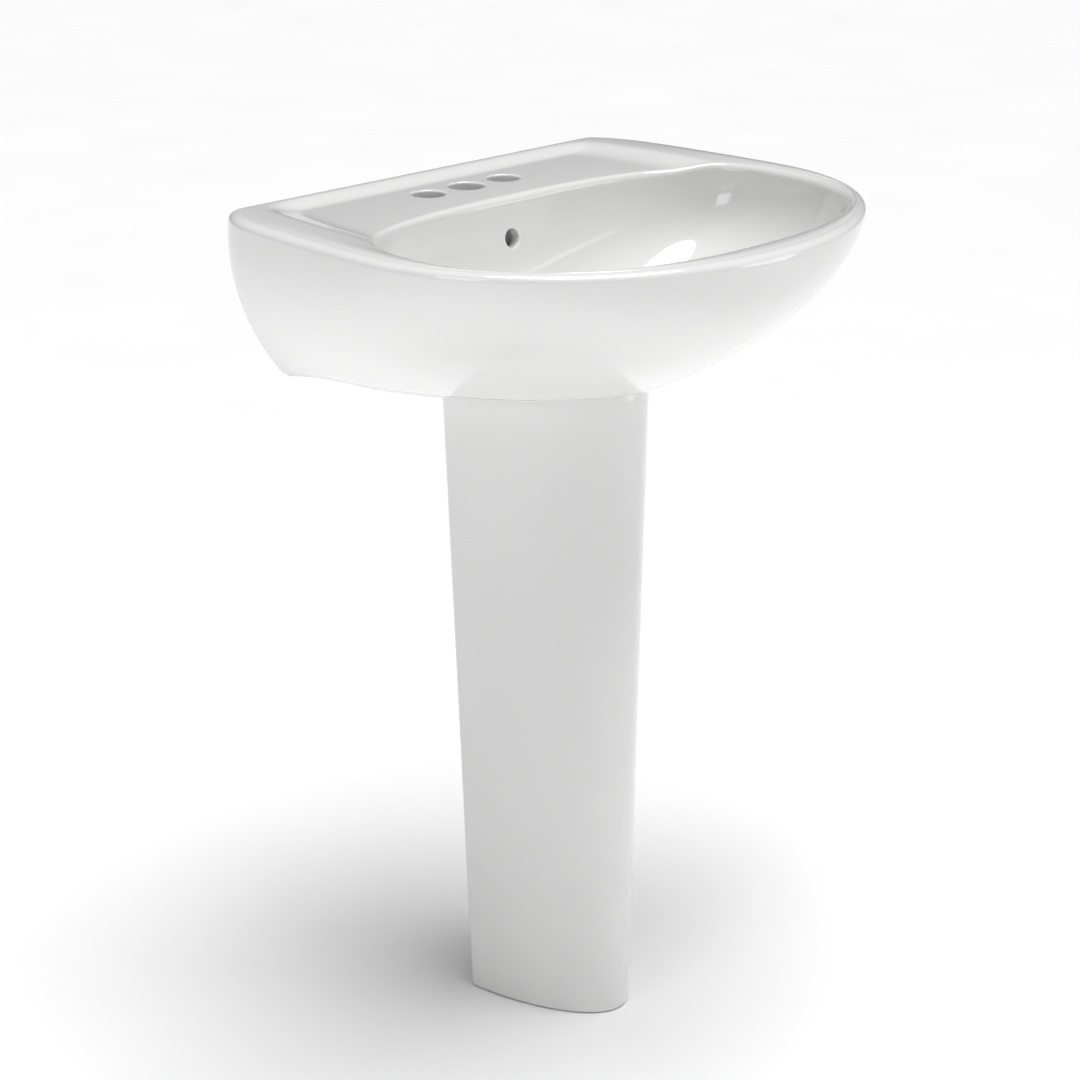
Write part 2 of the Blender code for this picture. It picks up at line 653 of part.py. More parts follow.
def pedestal():
    """The pedestal: a tapering D of even wall, open at the back, with a web across its foot."""
    sections = []
    for z, ease in ((0.0, PED_EDGE_R), (PED_EDGE_R, 0.0), (0.22, 0.0), (0.44, 0.0), (PED_TOP_Z, 0.0)):
        sections.append(u_section(z, ease, PED_CHINA))
    body = u_solid("pedestal", sections, china())
    half = pedestal_half(0.0, PED_CHINA * 0.6)
    back = PED_OUT + FOOT_WEB_BACK
    kept = [(x, out) for x, out in half if out > back]
    web_half = [(kept[0][0], back)] + kept
    web = d_prism("foot_web", web_half, 0.001, FOOT_WEB_H)
    boolean(body, web, 'UNION')
    spot = (0.0, WALL_Y - PED_OUT - FOOT_WEB_BACK - 0.028, 0.0)
    boolean(body, turned("floor_hole", rod_profile(FLOOR_HOLE_R, -0.001, FOOT_WEB_H + 0.001), None, spot,
                         segments=24, cutter=True), 'DIFFERENCE')
    return body


# ---- drain ----

def drain_body():
    """Flange, conical seat and threaded tube, with overflow windows and the cross arms inside."""
    throat_z = FLANGE_TOP - SEAT_DEPTH
    profile = [(BODY_BORE_R, BODY_END_Z), (BODY_R, BODY_END_Z), (BODY_R, FLANGE_Z), (FLANGE_R, FLANGE_Z),
               (FLANGE_R, FLANGE_Z + FLANGE_T), (SEAT_R + FLANGE_RING, FLANGE_TOP), (SEAT_R, FLANGE_TOP),
               (BODY_BORE_R, throat_z)]
    body = turned("drain_body", profile, chrome(), DRAIN)
    hub = turned("spider_hub", rod_profile(HUB_R, SPIDER_Z - SPIDER_H, SPIDER_Z), None, DRAIN, segments=24,
                 cutter=True)
    boolean(body, hub, 'UNION')
    for number in range(3):
        arm = box("spider_arm_%d" % number, (0.0, BODY_BORE_R + 0.001), (-SPIDER_ARM / 2, SPIDER_ARM / 2),
                  (SPIDER_Z - SPIDER_H + 0.0005, SPIDER_Z - 0.0005))
        arm.rotation_euler.z = 2 * math.pi * number / 3 + 0.3
        arm.location = DRAIN
        boolean(body, arm, 'UNION')
    pin_hole = turned("spider_bore", rod_profile(STEM_R + 2 * STEM_SLACK, SPIDER_Z - SPIDER_H - 0.001,
                                                 SPIDER_Z + 0.001), None, DRAIN, segments=16, cutter=True)
    boolean(body, pin_hole, 'DIFFERENCE')
    low = FLOOR_Z - CHAMBER_TOP - CHAMBER_H + 0.002
    for side in (-1, 1):
        window = box(f"overflow_window_{side}", (-WINDOW_W / 2, WINDOW_W / 2),
                     (BODY_BORE_R - 0.004, BODY_R + 0.002), (low, low + CHAMBER_H - 0.004))
        window.rotation_euler.z = 0.0 if side > 0 else math.pi
        window.location = DRAIN
        boolean(body, window, 'DIFFERENCE')


def box(name, x_range, y_range, z_range):
    """Axis-aligned box as a cutter."""
    bm = bmesh.new()
    bmesh.ops.create_cube(bm, size=1.0)
    for vert in bm.verts:
        vert.co = [low + (high - low) * (part + 0.5)
                   for part, (low, high) in zip(vert.co, (x_range, y_range, z_range))]
    return finish_mesh(name, bm, None, cutter=True)


def drain_hardware():
    """Seal, gasket, washer and locknut that clamp the drain to the china, and the tailpiece."""
    recess = FLOOR_Z - RECESS_DEPTH
    turned("drain_flange_seal", tube_profile(BODY_R + GAP, FLANGE_R - SEAL_INSET, recess + GAP,
                                             recess + GAP + SEAL_T), rubber(), DRAIN)
    top = BOSS_Z - GAP
    low = top - GASKET_H
    inner = BODY_R + GAP
    gasket = [(inner, low), (GASKET_R - 0.003, low), (GASKET_R, low + GASKET_H / 2), (GASKET_R, top),
              (DRAIN_HOLE_R - GAP, top), (inner + 0.0004, top + GASKET_LIP), (inner, top + GASKET_LIP)]
    turned("drain_gasket", gasket, rubber(), DRAIN)
    low -= GAP
    turned("drain_washer", tube_profile(inner, GASKET_R, low - WASHER_T, low), nylon(), DRAIN)
    low -= WASHER_T + GAP
    bottom = low - LOCKNUT_H
    nut = [(inner, bottom), (LOCKNUT_R - 0.001, bottom), (LOCKNUT_R, bottom + 0.001), (LOCKNUT_R, low),
           (inner, low)]
    turned("drain_locknut", nut, brass(), DRAIN, segments=8)
    bore = bpy.data.objects["drain_locknut"]
    for vert in bore.data.vertices:
        if math.hypot(vert.co.x, vert.co.y) < inner + 1e-5:
            vert.co.x /= math.cos(math.pi / 8)
            vert.co.y /= math.cos(math.pi / 8)

    shoulder_top = BODY_END_Z - 2 * GAP - TAIL_GASKET_T
    tail = [(TAIL_BORE_R, BODY_END_Z - TAIL_LENGTH), (TAIL_R, BODY_END_Z - TAIL_LENGTH),
            (TAIL_R, shoulder_top - TAIL_SHOULDER_H), (TAIL_SHOULDER_R, shoulder_top - TAIL_SHOULDER_H),
            (TAIL_SHOULDER_R, shoulder_top), (TAIL_THREAD_R, shoulder_top),
            (TAIL_THREAD_R, BODY_END_Z + TAIL_THREAD_H), (TAIL_BORE_R, BODY_END_Z + TAIL_THREAD_H)]
    turned("tailpiece", tail, chrome(), DRAIN)
    turned("tailpiece_gasket", tube_profile(TAIL_THREAD_R + GAP, TAIL_SHOULDER_R, shoulder_top + GAP,
                                            shoulder_top + GAP + TAIL_GASKET_T), rubber(), DRAIN)


def stopper():
    """Push-open stopper, drawn open: cap, seal and stem rise together on the spring in the cartridge."""
    up = STOPPER_TRAVEL
    under = FLANGE_TOP - CAP_SEAT_GAP + up
    lift = bpy.data.objects.new("stopper_axis", None)
    bpy.context.scene.collection.objects.link(lift)
    lift.location = (DRAIN.x, DRAIN.y, under)

    hub_low = -CAP_SEAL_T - CAP_HUB_H
    bore = STEM_R + STEM_SLACK
    cap = [(bore, hub_low), (CAP_HUB_R, hub_low), (CAP_HUB_R, 0.0), (CAP_R - 0.0008, 0.0), (CAP_R, 0.0008),
           (CAP_R, CAP_T - 0.0010), (CAP_R * 0.96, CAP_T), (CAP_R * 0.7, CAP_T + CAP_DOME * 0.6),
           (CAP_R * 0.35, CAP_T + CAP_DOME * 0.92), (0.0, CAP_T + CAP_DOME), (0.0, -0.001), (bore, -0.001)]
    cap_obj = turned("stopper_cap", cap, chrome(), (0, 0, 0))
    seal_in, seal_low = CAP_HUB_R + GAP, -GAP - CAP_SEAL_T
    seal = [(seal_in, seal_low), (CAP_SEAL_R - 0.003, seal_low), (CAP_SEAL_R, -GAP - 0.0008),
            (CAP_SEAL_R, -GAP), (seal_in, -GAP)]
    seal_obj = turned("stopper_seal", seal, rubber(), (0, 0, 0))
    cartridge_low = SPIDER_Z + GAP
    cartridge_top = cartridge_low + CARTRIDGE_H
    collar_top = cartridge_top - CARTRIDGE_LIP - GAP - under
    stem_low = cartridge_low + GAP + up - under
    stem = [(0.0, stem_low), (STEM_R - 0.0004, stem_low), (STEM_R, stem_low + 0.0006),
            (STEM_R, collar_top - STEM_COLLAR_H), (STEM_COLLAR_R, collar_top - STEM_COLLAR_H),
            (STEM_COLLAR_R, collar_top), (STEM_R, collar_top), (STEM_R, -0.001 - GAP), (0.0, -0.001 - GAP)]
    stem_obj = turned("stopper_stem", stem, brass(), (0, 0, 0), segments=16)
    for obj in (cap_obj, seal_obj, stem_obj):
        obj.parent = lift

    hole = STEM_R + STEM_SLACK
    floor_z = cartridge_low + CARTRIDGE_FLOOR
    lip_z = cartridge_top - CARTRIDGE_LIP
    housing = [(hole, cartridge_low), (CARTRIDGE_R, cartridge_low), (CARTRIDGE_R, cartridge_top),
               (hole, cartridge_top), (hole, lip_z), (CARTRIDGE_BORE_R, lip_z), (CARTRIDGE_BORE_R, floor_z),
               (hole, floor_z)]
    turned("stopper_cartridge", housing, nylon(), DRAIN, segments=24)
    collar_low = under + collar_top - STEM_COLLAR_H
    spring(floor_z + GAP, collar_low - GAP)


def spring(low, high):
    """Coil spring between two heights, its wire a six-sided tube."""
    bm = bmesh.new()
    sides, per_turn = 6, 12
    steps = SPRING_TURNS * per_turn
    rows = []
    for i in range(steps + 1):
        angle = 2 * math.pi * i / per_turn
        z = low + SPRING_WIRE + (high - low - 2 * SPRING_WIRE) * i / steps
        row = []
        for k in range(sides):
            turn = 2 * math.pi * k / sides
            radius = SPRING_R + SPRING_WIRE * math.cos(turn)
            row.append(bm.verts.new((radius * math.cos(angle), radius * math.sin(angle),
                                     z + SPRING_WIRE * math.sin(turn))))
        rows.append(row)
    for lower, upper in zip(rows, rows[1:]):
        join_rings(bm, lower, upper)
    bm.faces.new(rows[0])
    bm.faces.new(rows[-1])
    obj = finish_mesh("stopper_spring", bm, zinc())
    obj.location = DRAIN


# ---- wall fixings ----

def wall_fixing(name, x):
    """Hanger bolt through the back panel with its sleeve, washer and nut."""
    spot = (x, WALL_Y, BOLT_Z)
    face = CHINA + GAP
    collar_end = face + SLEEVE_COLLAR_T
    washer_low = collar_end + GAP
    nut_low = washer_low + BOLT_WASHER_T + GAP
    end = nut_low + NUT_H + BOLT_PROUD
    bolt = [(0.0, -BOLT_IN_WALL), (BOLT_R * 0.15, -BOLT_IN_WALL), (BOLT_R, -BOLT_IN_WALL + BOLT_TIP),
            (BOLT_R, end - 0.001), (BOLT_R - 0.001, end), (0.0, end)]
    turned(f"hanger_bolt_{name}", bolt, zinc(), spot, 'Y', 16)
    inner = BOLT_R + GAP
    sleeve = [(inner, GAP), (SLEEVE_R, GAP), (SLEEVE_R, face), (SLEEVE_COLLAR_R, face),
              (SLEEVE_COLLAR_R, collar_end), (inner, collar_end)]
    turned(f"bolt_sleeve_{name}", sleeve, nylon(), spot, 'Y', 24)
    turned(f"bolt_washer_{name}", tube_profile(inner, BOLT_WASHER_R, washer_low, washer_low + BOLT_WASHER_T),
           zinc(), spot, 'Y', 24)
    hex_nut(f"bolt_nut_{name}", spot, nut_low, inner)


def hex_nut(name, spot, low, bore):
    """Hexagon nut with a round bore, along the bolt."""
    segments = 24
    bm = bmesh.new()
    rows = []
    for radius_of, z in ((hex_radius, low), (hex_radius, low + NUT_H), (None, low + NUT_H), (None, low)):
        row = []
        for i in range(segments):
            angle = 2 * math.pi * i / segments
            radius = radius_of(angle) if radius_of else bore
            row.append(bm.verts.new((radius * math.cos(angle), radius * math.sin(angle), z)))
        rows.append(row)
    for k in range(4):
        join_rings(bm, rows[k], rows[(k + 1) % 4])
    obj = finish_mesh(name, bm, zinc())
    lay_along(obj.data, 'Y')
    obj.location = spot


def hex_radius(angle):
    """Distance from a hexagon's middle to its side in a direction."""
    sixth = math.pi / 3
    off = (angle + sixth / 2) % sixth - sixth / 2
    return NUT_AF / 2 / math.cos(off)


start_clean()
basin()
pedestal()
drain_body()
drain_hardware()
stopper()
wall_fixing("left", -BOLT_SPACING / 2)
wall_fixing("right", BOLT_SPACING / 2)
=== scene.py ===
"""Pedestal sink, ready to render: glazed basin and pedestal, wall fixings and a push-open drain.

Metres, +Z up.  The floor is z = 0 and the sink faces -Y.  Depths called "out" are measured from
the wall towards the front.
"""
import math

import bpy
from bpy.props import FloatProperty, FloatVectorProperty, IntProperty, PointerProperty
from mathutils import Matrix, Vector


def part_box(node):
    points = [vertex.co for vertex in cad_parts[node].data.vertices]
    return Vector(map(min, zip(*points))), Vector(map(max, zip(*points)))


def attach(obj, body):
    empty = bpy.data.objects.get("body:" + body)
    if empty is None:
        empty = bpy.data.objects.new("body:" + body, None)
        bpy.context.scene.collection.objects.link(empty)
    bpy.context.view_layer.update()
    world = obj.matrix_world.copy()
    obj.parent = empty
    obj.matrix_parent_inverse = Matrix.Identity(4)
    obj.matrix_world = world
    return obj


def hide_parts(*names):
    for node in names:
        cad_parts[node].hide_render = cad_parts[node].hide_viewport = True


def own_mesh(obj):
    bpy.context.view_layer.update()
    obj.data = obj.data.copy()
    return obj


bl_info = {
    "name": "Pedestal sink",
    "version": (1, 0, 0),
    "blender": (4, 5, 0),
    "location": "View3D > Sidebar > Sink",
    "description": "Builds a pedestal sink piece by piece, with its drain, stopper and wall fixings",
    "category": "Add Mesh",
}

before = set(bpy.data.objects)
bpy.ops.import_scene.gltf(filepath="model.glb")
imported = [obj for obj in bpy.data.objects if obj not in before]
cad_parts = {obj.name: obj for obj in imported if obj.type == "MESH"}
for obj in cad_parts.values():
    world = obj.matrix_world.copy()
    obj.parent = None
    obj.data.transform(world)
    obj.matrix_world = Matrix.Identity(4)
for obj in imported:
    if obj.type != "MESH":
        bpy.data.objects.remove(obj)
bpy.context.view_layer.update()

GAP = 0.0003            # clearance between touching pieces
BODY = "sink"           # everything but the stopper
MOVING = "stopper"

# ---- curves of the china ----

FLARE_QUICK = 0.7       # part of the sides' flare that comes quickly, near the wall
FLARE_SLOW = 0.3        # and the part that comes slowly
RIM_FLARE = 7.9         # how quickly that part comes at the rim
FLARE_LOSS = 3.04       # how much slower it comes at the underside
BACK_TUCK = 0.060       # how far the back panel's sides draw in over BACK_TUCK_DROP
BACK_TUCK_DROP = 0.144
BACK_WIDEST_DROP = 0.029    # rim down to the back panel's widest line
BACK_CORNER = 0.005     # roundover between the back panel and the sides
CORNER_END = 0.014      # share of the way to the widest line at which that roundover ends
SIDE_CURVE = 1.97       # how late the sides draw in on the way down
FRONT_CURVE = 2.19      # the same for the front
WIDEST_SHIFT = 0.1545   # the belly's widest line moves this far towards the wall
TIP_POWER = 2.04        # how square the front is at the rim
TIP_LOSS = 0.37         # how much rounder it is at the underside
TIP_SWELL = 0.43        # and how much squarer half way down
UNDERSIDE_RISE = 0.0084     # how much higher the underside is at the front
RISE_LENGTH = 0.110     # distance over which most of that rise happens
BOWL_POWER = 2.6        # how full the bowl's side profile is, near the rim
BOWL_CLOSING = 0.9      # the same, near its floor
BOWL_SHIFT = 0.070      # the bowl's widest line moves this far towards the wall
BACK_POWER = 2.9        # how square the back half of the bowl's outline is
BOWL_TIP_POWER = 2.35   # how square its front half is at the rim
BOWL_TIP_LOSS = 0.7     # how much rounder that is at the floor
DECK_EASE = 0.12        # softness where the border starts to slope down to the tap deck
DECK_BACK = (0.008, 0.032)      # from the wall: start and end of the slope behind the deck
DECK_FRONT = (0.200, 0.255)     # start and end of the rise beside the bowl
PEDESTAL_POWER = 1.57   # how square the pedestal's front is at the foot
PEDESTAL_LOSS = 0.20    # how much rounder it is at the top

# ---- seats in the china ----

BOSS_DEPTH = 0.041      # bowl floor down to the underside of the boss round the drain
DRAIN_HOLE = 0.02225    # radius of the hole through the boss
CHAMBER_DROP = 0.013    # bowl floor down to the ring chamber that takes the overflow
CHAMBER_HEIGHT = 0.016
CHAMBER_RADIUS = 0.029
DUCT_LEVEL = 0.021      # bowl floor down to the duct's end in the chamber
RECESS_DEPTH = 0.003    # seat of the drain's flange in the bowl floor
RECESS_RADIUS = 0.033
RECESS_EDGE = 0.002
SOCKET_SLACK = 0.0015   # pedestal in its socket

# ---- metal ----

HUB_RADIUS = 0.0065     # of the drain's cross and of the stopper's hub
SEAT_RADIUS = 0.027     # outer edge of the drain's conical seat
SEAT_DEPTH = 0.0045
FLANGE_SHOULDER = 0.0285    # where the flange's top starts to slope to its edge
PIPE_GROOVE = 0.0009    # depth of the drain's thread
TAIL_PITCH = 0.0014     # thread of the tailpiece
TAIL_GROOVE = 0.0006
BOLT_GROOVE = 0.0006    # depth of the bolt's machine thread
WOOD_GROOVE = 0.0011    # depth of its wall thread


# ---- sizes and colours ----

class SinkBasinSizes(bpy.types.PropertyGroup):
    """Sizes of the basin; its height, width and reach come from the frame."""

    rim_widest: FloatProperty(name="Rim widest at", description="Wall to the rim's widest line",
                              default=0.237, unit='LENGTH', subtype='DISTANCE')
    back_width: FloatProperty(name="Back width", description="Widest across the back panel",
                              default=0.4954, unit='LENGTH', subtype='DISTANCE')
    drop: FloatProperty(name="Shell height", description="Rim down to the underside at the wall",
                        default=0.1756, unit='LENGTH', subtype='DISTANCE')
    side_tuck: FloatProperty(name="Side tuck", description="How far each side draws in by the underside",
                             default=0.112, unit='LENGTH', subtype='DISTANCE')
    front_tuck: FloatProperty(name="Front tuck", description="How far the front draws in by the underside",
                              default=0.165, unit='LENGTH', subtype='DISTANCE')
    china: FloatProperty(name="China", description="Thickness of the china shell",
                         default=0.011, unit='LENGTH', subtype='DISTANCE')
    edge_width: FloatProperty(name="Rim edge width", description="Roundover of the rim's outer edge, across",
                              default=0.010, unit='LENGTH', subtype='DISTANCE')
    edge_depth: FloatProperty(name="Rim edge depth", description="Roundover of the rim's outer edge, down",
                              default=0.0085, unit='LENGTH', subtype='DISTANCE')
    crown: FloatProperty(name="Rim crown", description="How far the rim's top falls away at its edges",
                         default=0.0010, unit='LENGTH', subtype='DISTANCE')
    mouth_width: FloatProperty(name="Bowl width", description="Bowl opening, side to side",
                               default=0.496, unit='LENGTH', subtype='DISTANCE')
    mouth_back: FloatProperty(name="Bowl back", description="Wall to the back of the bowl opening",
                              default=0.125, unit='LENGTH', subtype='DISTANCE')
    mouth_widest: FloatProperty(name="Bowl widest at", description="Wall to the bowl's widest line",
                                default=0.262, unit='LENGTH', subtype='DISTANCE')
    mouth_front: FloatProperty(name="Bowl front", description="Wall to the front of the bowl opening",
                               default=0.434, unit='LENGTH', subtype='DISTANCE')
    lip: FloatProperty(name="Bowl lip", description="Roundover of the bowl's lip",
                       default=0.008, unit='LENGTH', subtype='DISTANCE')
    bowl_depth: FloatProperty(name="Bowl depth", description="Rim down to the bowl's floor",
                              default=0.150, unit='LENGTH', subtype='DISTANCE')
    floor_radius: FloatProperty(name="Bowl floor", description="Radius of the flat about the drain",
                                default=0.042, unit='LENGTH', subtype='DISTANCE')
    deck_drop: FloatProperty(name="Deck drop", description="Tap deck below the rim",
                             default=0.007, unit='LENGTH', subtype='DISTANCE')
    border: FloatProperty(name="Deck border", description="Flat of the raised border at the deck's sides",
                          default=0.046, unit='LENGTH', subtype='DISTANCE')
    border_slope: FloatProperty(name="Border slope", description="Width of the slope from border to deck",
                                default=0.037, unit='LENGTH', subtype='DISTANCE')
    tap_pitch: FloatProperty(name="Tap pitch", description="Middle tap hole to each outer one",
                             default=0.0508, unit='LENGTH', subtype='DISTANCE')
    tap_out: FloatProperty(name="Tap holes at", description="Wall to the tap holes' line",
                           default=0.0638, unit='LENGTH', subtype='DISTANCE')
    tap_radius: FloatProperty(name="Tap hole", description="Radius of the outer tap holes",
                              default=0.0165, unit='LENGTH', subtype='DISTANCE')
    tap_middle_radius: FloatProperty(name="Middle tap hole", description="Radius of the middle tap hole",
                                     default=0.018, unit='LENGTH', subtype='DISTANCE')
    tap_lip: FloatProperty(name="Tap hole lip", description="Roundover of the tap holes' edges",
                           default=0.0025, unit='LENGTH', subtype='DISTANCE')
    overflow_radius: FloatProperty(name="Overflow hole", description="Radius of the overflow hole",
                                   default=0.0092, unit='LENGTH', subtype='DISTANCE')
    overflow_drop: FloatProperty(name="Overflow drop", description="Rim down to the overflow hole",
                                 default=0.0486, unit='LENGTH', subtype='DISTANCE')


class SinkPedestalSizes(bpy.types.PropertyGroup):
    """Sizes of the pedestal; its height and foot come from the frame."""

    top_width: FloatProperty(name="Top width", description="Across the pedestal's top",
                             default=0.2150, unit='LENGTH', subtype='DISTANCE')
    foot_width: FloatProperty(name="Foot width", description="Across the pedestal's foot",
                              default=0.1496, unit='LENGTH', subtype='DISTANCE')
    top_depth: FloatProperty(name="Top depth", description="Front to back at the top",
                             default=0.1520, unit='LENGTH', subtype='DISTANCE')
    foot_depth: FloatProperty(name="Foot depth", description="Front to back at the foot",
                              default=0.1447, unit='LENGTH', subtype='DISTANCE')
    china: FloatProperty(name="China", description="Thickness of the pedestal's wall",
                         default=0.011, unit='LENGTH', subtype='DISTANCE')
    edge: FloatProperty(name="Edges", description="Roundover of its back edges and foot",
                        default=0.0035, unit='LENGTH', subtype='DISTANCE')
    web_height: FloatProperty(name="Foot web", description="Thickness of the web across the foot",
                              default=0.014, unit='LENGTH', subtype='DISTANCE')


class SinkHardwareSizes(bpy.types.PropertyGroup):
    """Sizes of the drain, stopper and wall fixings that the frame's boxes don't give."""

    body_radius: FloatProperty(name="Drain tube", description="Radius over the drain's thread",
                               default=0.0208, unit='LENGTH', subtype='DISTANCE')
    body_bore: FloatProperty(name="Drain bore", description="Radius inside the drain's tube",
                             default=0.0173, unit='LENGTH', subtype='DISTANCE')
    tail_bore: FloatProperty(name="Tailpiece bore", description="Radius inside the tailpiece",
                             default=0.0147, unit='LENGTH', subtype='DISTANCE')
    tail_radius: FloatProperty(name="Tailpiece", description="Radius outside the tailpiece",
                               default=0.0159, unit='LENGTH', subtype='DISTANCE')
    pipe_pitch: FloatProperty(name="Pipe thread pitch", description="Pitch of the drain's thread",
                              default=0.0022, unit='LENGTH', subtype='DISTANCE')
    stem_radius: FloatProperty(name="Stem", description="Radius of the stopper's stem",
                               default=0.0026, unit='LENGTH', subtype='DISTANCE')
    wire_radius: FloatProperty(name="Spring wire", description="Radius of the spring's wire",
                               default=0.0004, unit='LENGTH', subtype='DISTANCE')
    spring_turns: IntProperty(name="Spring turns", description="Turns of the stopper's spring",
                              default=6, min=3, max=12)
    bolt_radius: FloatProperty(name="Bolt", description="Radius of the hanger bolts",
                               default=0.004, unit='LENGTH', subtype='DISTANCE')
    bolt_pitch: FloatProperty(name="Bolt thread pitch", description="Pitch of the bolt's nut end",
                              default=0.00125, unit='LENGTH', subtype='DISTANCE')
    wood_pitch: FloatProperty(name="Wall thread pitch", description="Pitch of the bolt's wall end",
                              default=0.0036, unit='LENGTH', subtype='DISTANCE')
    nut_across: FloatProperty(name="Nut", description="Nut across its flats",
                              default=0.013, unit='LENGTH', subtype='DISTANCE')


class SinkFinishes(bpy.types.PropertyGroup):
    """Colours of the finishes and of the stage."""

    glaze: FloatVectorProperty(name="Glaze", description="White glaze on the china",
                               default=(0.80, 0.80, 0.795), subtype='COLOR', size=3, min=0.0, max=1.0)
    chrome: FloatVectorProperty(name="Chrome", description="Bright plating of the drain and stopper",
                                default=(0.80, 0.81, 0.82), subtype='COLOR', size=3, min=0.0, max=1.0)
    brass: FloatVectorProperty(name="Brass", description="Raw brass of the locknut and stem",
                               default=(0.72, 0.55, 0.27), subtype='COLOR', size=3, min=0.0, max=1.0)
    zinc: FloatVectorProperty(name="Zinc", description="Zinc plating of the steel fixings",
                              default=(0.62, 0.63, 0.64), subtype='COLOR', size=3, min=0.0, max=1.0)
    rubber: FloatVectorProperty(name="Rubber", description="Black rubber of the seals and gaskets",
                                default=(0.03, 0.03, 0.03), subtype='COLOR', size=3, min=0.0, max=1.0)
    nylon: FloatVectorProperty(name="Nylon", description="White nylon of the washers and sleeves",
                               default=(0.85, 0.85, 0.82), subtype='COLOR', size=3, min=0.0, max=1.0)
    floor: FloatVectorProperty(name="Floor", description="Pale studio floor",
                               default=(0.92, 0.92, 0.92), subtype='COLOR', size=3, min=0.0, max=1.0)


# ---- materials ----

def surface(name, colour, roughness, metallic=0.0, spread=0.03, grain=40.0, uneven=0.05, bump=0.0, coat=0.0):
    """A Principled material whose colour and roughness drift gently over the surface."""
    mat = bpy.data.materials.new(name)
    mat.use_nodes = True
    nodes = mat.node_tree.nodes
    links = mat.node_tree.links
    shader = nodes["Principled BSDF"]
    shader.inputs["Metallic"].default_value = metallic
    shader.inputs["Coat Weight"].default_value = coat
    shader.inputs["Coat Roughness"].default_value = 0.03
    coords = nodes.new("ShaderNodeTexCoord")
    noise = nodes.new("ShaderNodeTexNoise")
    noise.inputs["Scale"].default_value = grain
    noise.inputs["Detail"].default_value = 4.0
    links.new(coords.outputs["Object"], noise.inputs["Vector"])
    tone = nodes.new("ShaderNodeValToRGB")
    tone.color_ramp.elements[0].position = 0.3
    tone.color_ramp.elements[0].color = (*[part * (1 - spread) for part in colour], 1.0)
    tone.color_ramp.elements[1].position = 0.7
    tone.color_ramp.elements[1].color = (*[min(1.0, part * (1 + spread)) for part in colour], 1.0)
    links.new(noise.outputs["Fac"], tone.inputs["Fac"])
    links.new(tone.outputs["Color"], shader.inputs["Base Color"])
    gloss = nodes.new("ShaderNodeMapRange")
    gloss.inputs["To Min"].default_value = roughness * (1 - uneven)
    gloss.inputs["To Max"].default_value = roughness * (1 + uneven)
    links.new(noise.outputs["Fac"], gloss.inputs["Value"])
    links.new(gloss.outputs["Result"], shader.inputs["Roughness"])
    if bump > 0.0:
        fine = nodes.new("ShaderNodeTexNoise")
        fine.inputs["Scale"].default_value = grain * 6
        fine.inputs["Detail"].default_value = 2.0
        links.new(coords.outputs["Object"], fine.inputs["Vector"])
        relief = nodes.new("ShaderNodeBump")
        relief.inputs["Strength"].default_value = bump
        relief.inputs["Distance"].default_value = 0.0005
        links.new(fine.outputs["Fac"], relief.inputs["Height"])
        links.new(relief.outputs["Normal"], shader.inputs["Normal"])
    return mat


def finish_of(slot):
    """The material of a slot, made the first time it is asked for."""
    known = bpy.data.materials.get("look_" + slot)
    if known:
        return known
    colours = bpy.context.scene.sink_finishes
    name = "look_" + slot
    if slot == "china":
        return surface(name, colours.glaze, 0.10, 0.0, 0.012, 9.0, 0.15, 0.03, 0.5)
    if slot == "chrome":
        return surface(name, colours.chrome, 0.07, 1.0, 0.02, 30.0, 0.3, 0.02)
    if slot == "brass":
        return surface(name, colours.brass, 0.32, 1.0, 0.10, 120.0, 0.3, 0.15)
    if slot == "zinc_steel":
        return surface(name, colours.zinc, 0.36, 1.0, 0.10, 160.0, 0.3, 0.15)
    if slot == "black_rubber":
        return surface(name, colours.rubber, 0.72, 0.0, 0.25, 200.0, 0.15, 0.25)
    if slot == "white_nylon":
        return surface(name, colours.nylon, 0.42, 0.0, 0.03, 90.0, 0.2, 0.08)
    raise ValueError(f"there is no finish for slot {slot}")


# ---- mesh helpers ----

def select_only(obj):
    """Make one object the selected and active one."""
    bpy.ops.object.select_all(action='DESELECT')
    obj.select_set(True)
    bpy.context.view_layer.objects.active = obj


def tidy(obj):
    """Merge doubled points and turn every face outwards."""
    select_only(obj)
    bpy.ops.object.mode_set(mode='EDIT')
    bpy.ops.mesh.select_all(action='SELECT')
    bpy.ops.mesh.remove_doubles(threshold=1e-6)
    bpy.ops.mesh.normals_make_consistent(inside=False)
    bpy.ops.object.mode_set(mode='OBJECT')
    return obj


def solid(name, verts, faces):
    """An object from points and faces, with outward faces."""
    mesh = bpy.data.meshes.new(name)
    mesh.from_pydata(verts, [], faces)
    mesh.update()
    obj = bpy.data.objects.new(name, mesh)
    bpy.context.scene.collection.objects.link(obj)
    return tidy(obj)


def apply_all(obj):
    """Apply every modifier of an object, in order."""
    select_only(obj)
    for mod in list(obj.modifiers):
        bpy.ops.object.modifier_apply(modifier=mod.name)


def cut(obj, other, operation='DIFFERENCE'):
    """Cut with, or add, another solid, which is used up."""
    mod = obj.modifiers.new(other.name, 'BOOLEAN')
    mod.operation = operation
    mod.solver = 'EXACT'
    mod.object = other
    apply_all(obj)
    bpy.data.objects.remove(other, do_unlink=True)


def bevel_edges(obj, width, angle=40.0, segments=3):
    """Round every edge sharper than an angle."""
    mod = obj.modifiers.new("edges", 'BEVEL')
    mod.width = width
    mod.segments = segments
    mod.limit_method = 'ANGLE'
    mod.angle_limit = math.radians(angle)
    mod.harden_normals = False
    apply_all(obj)


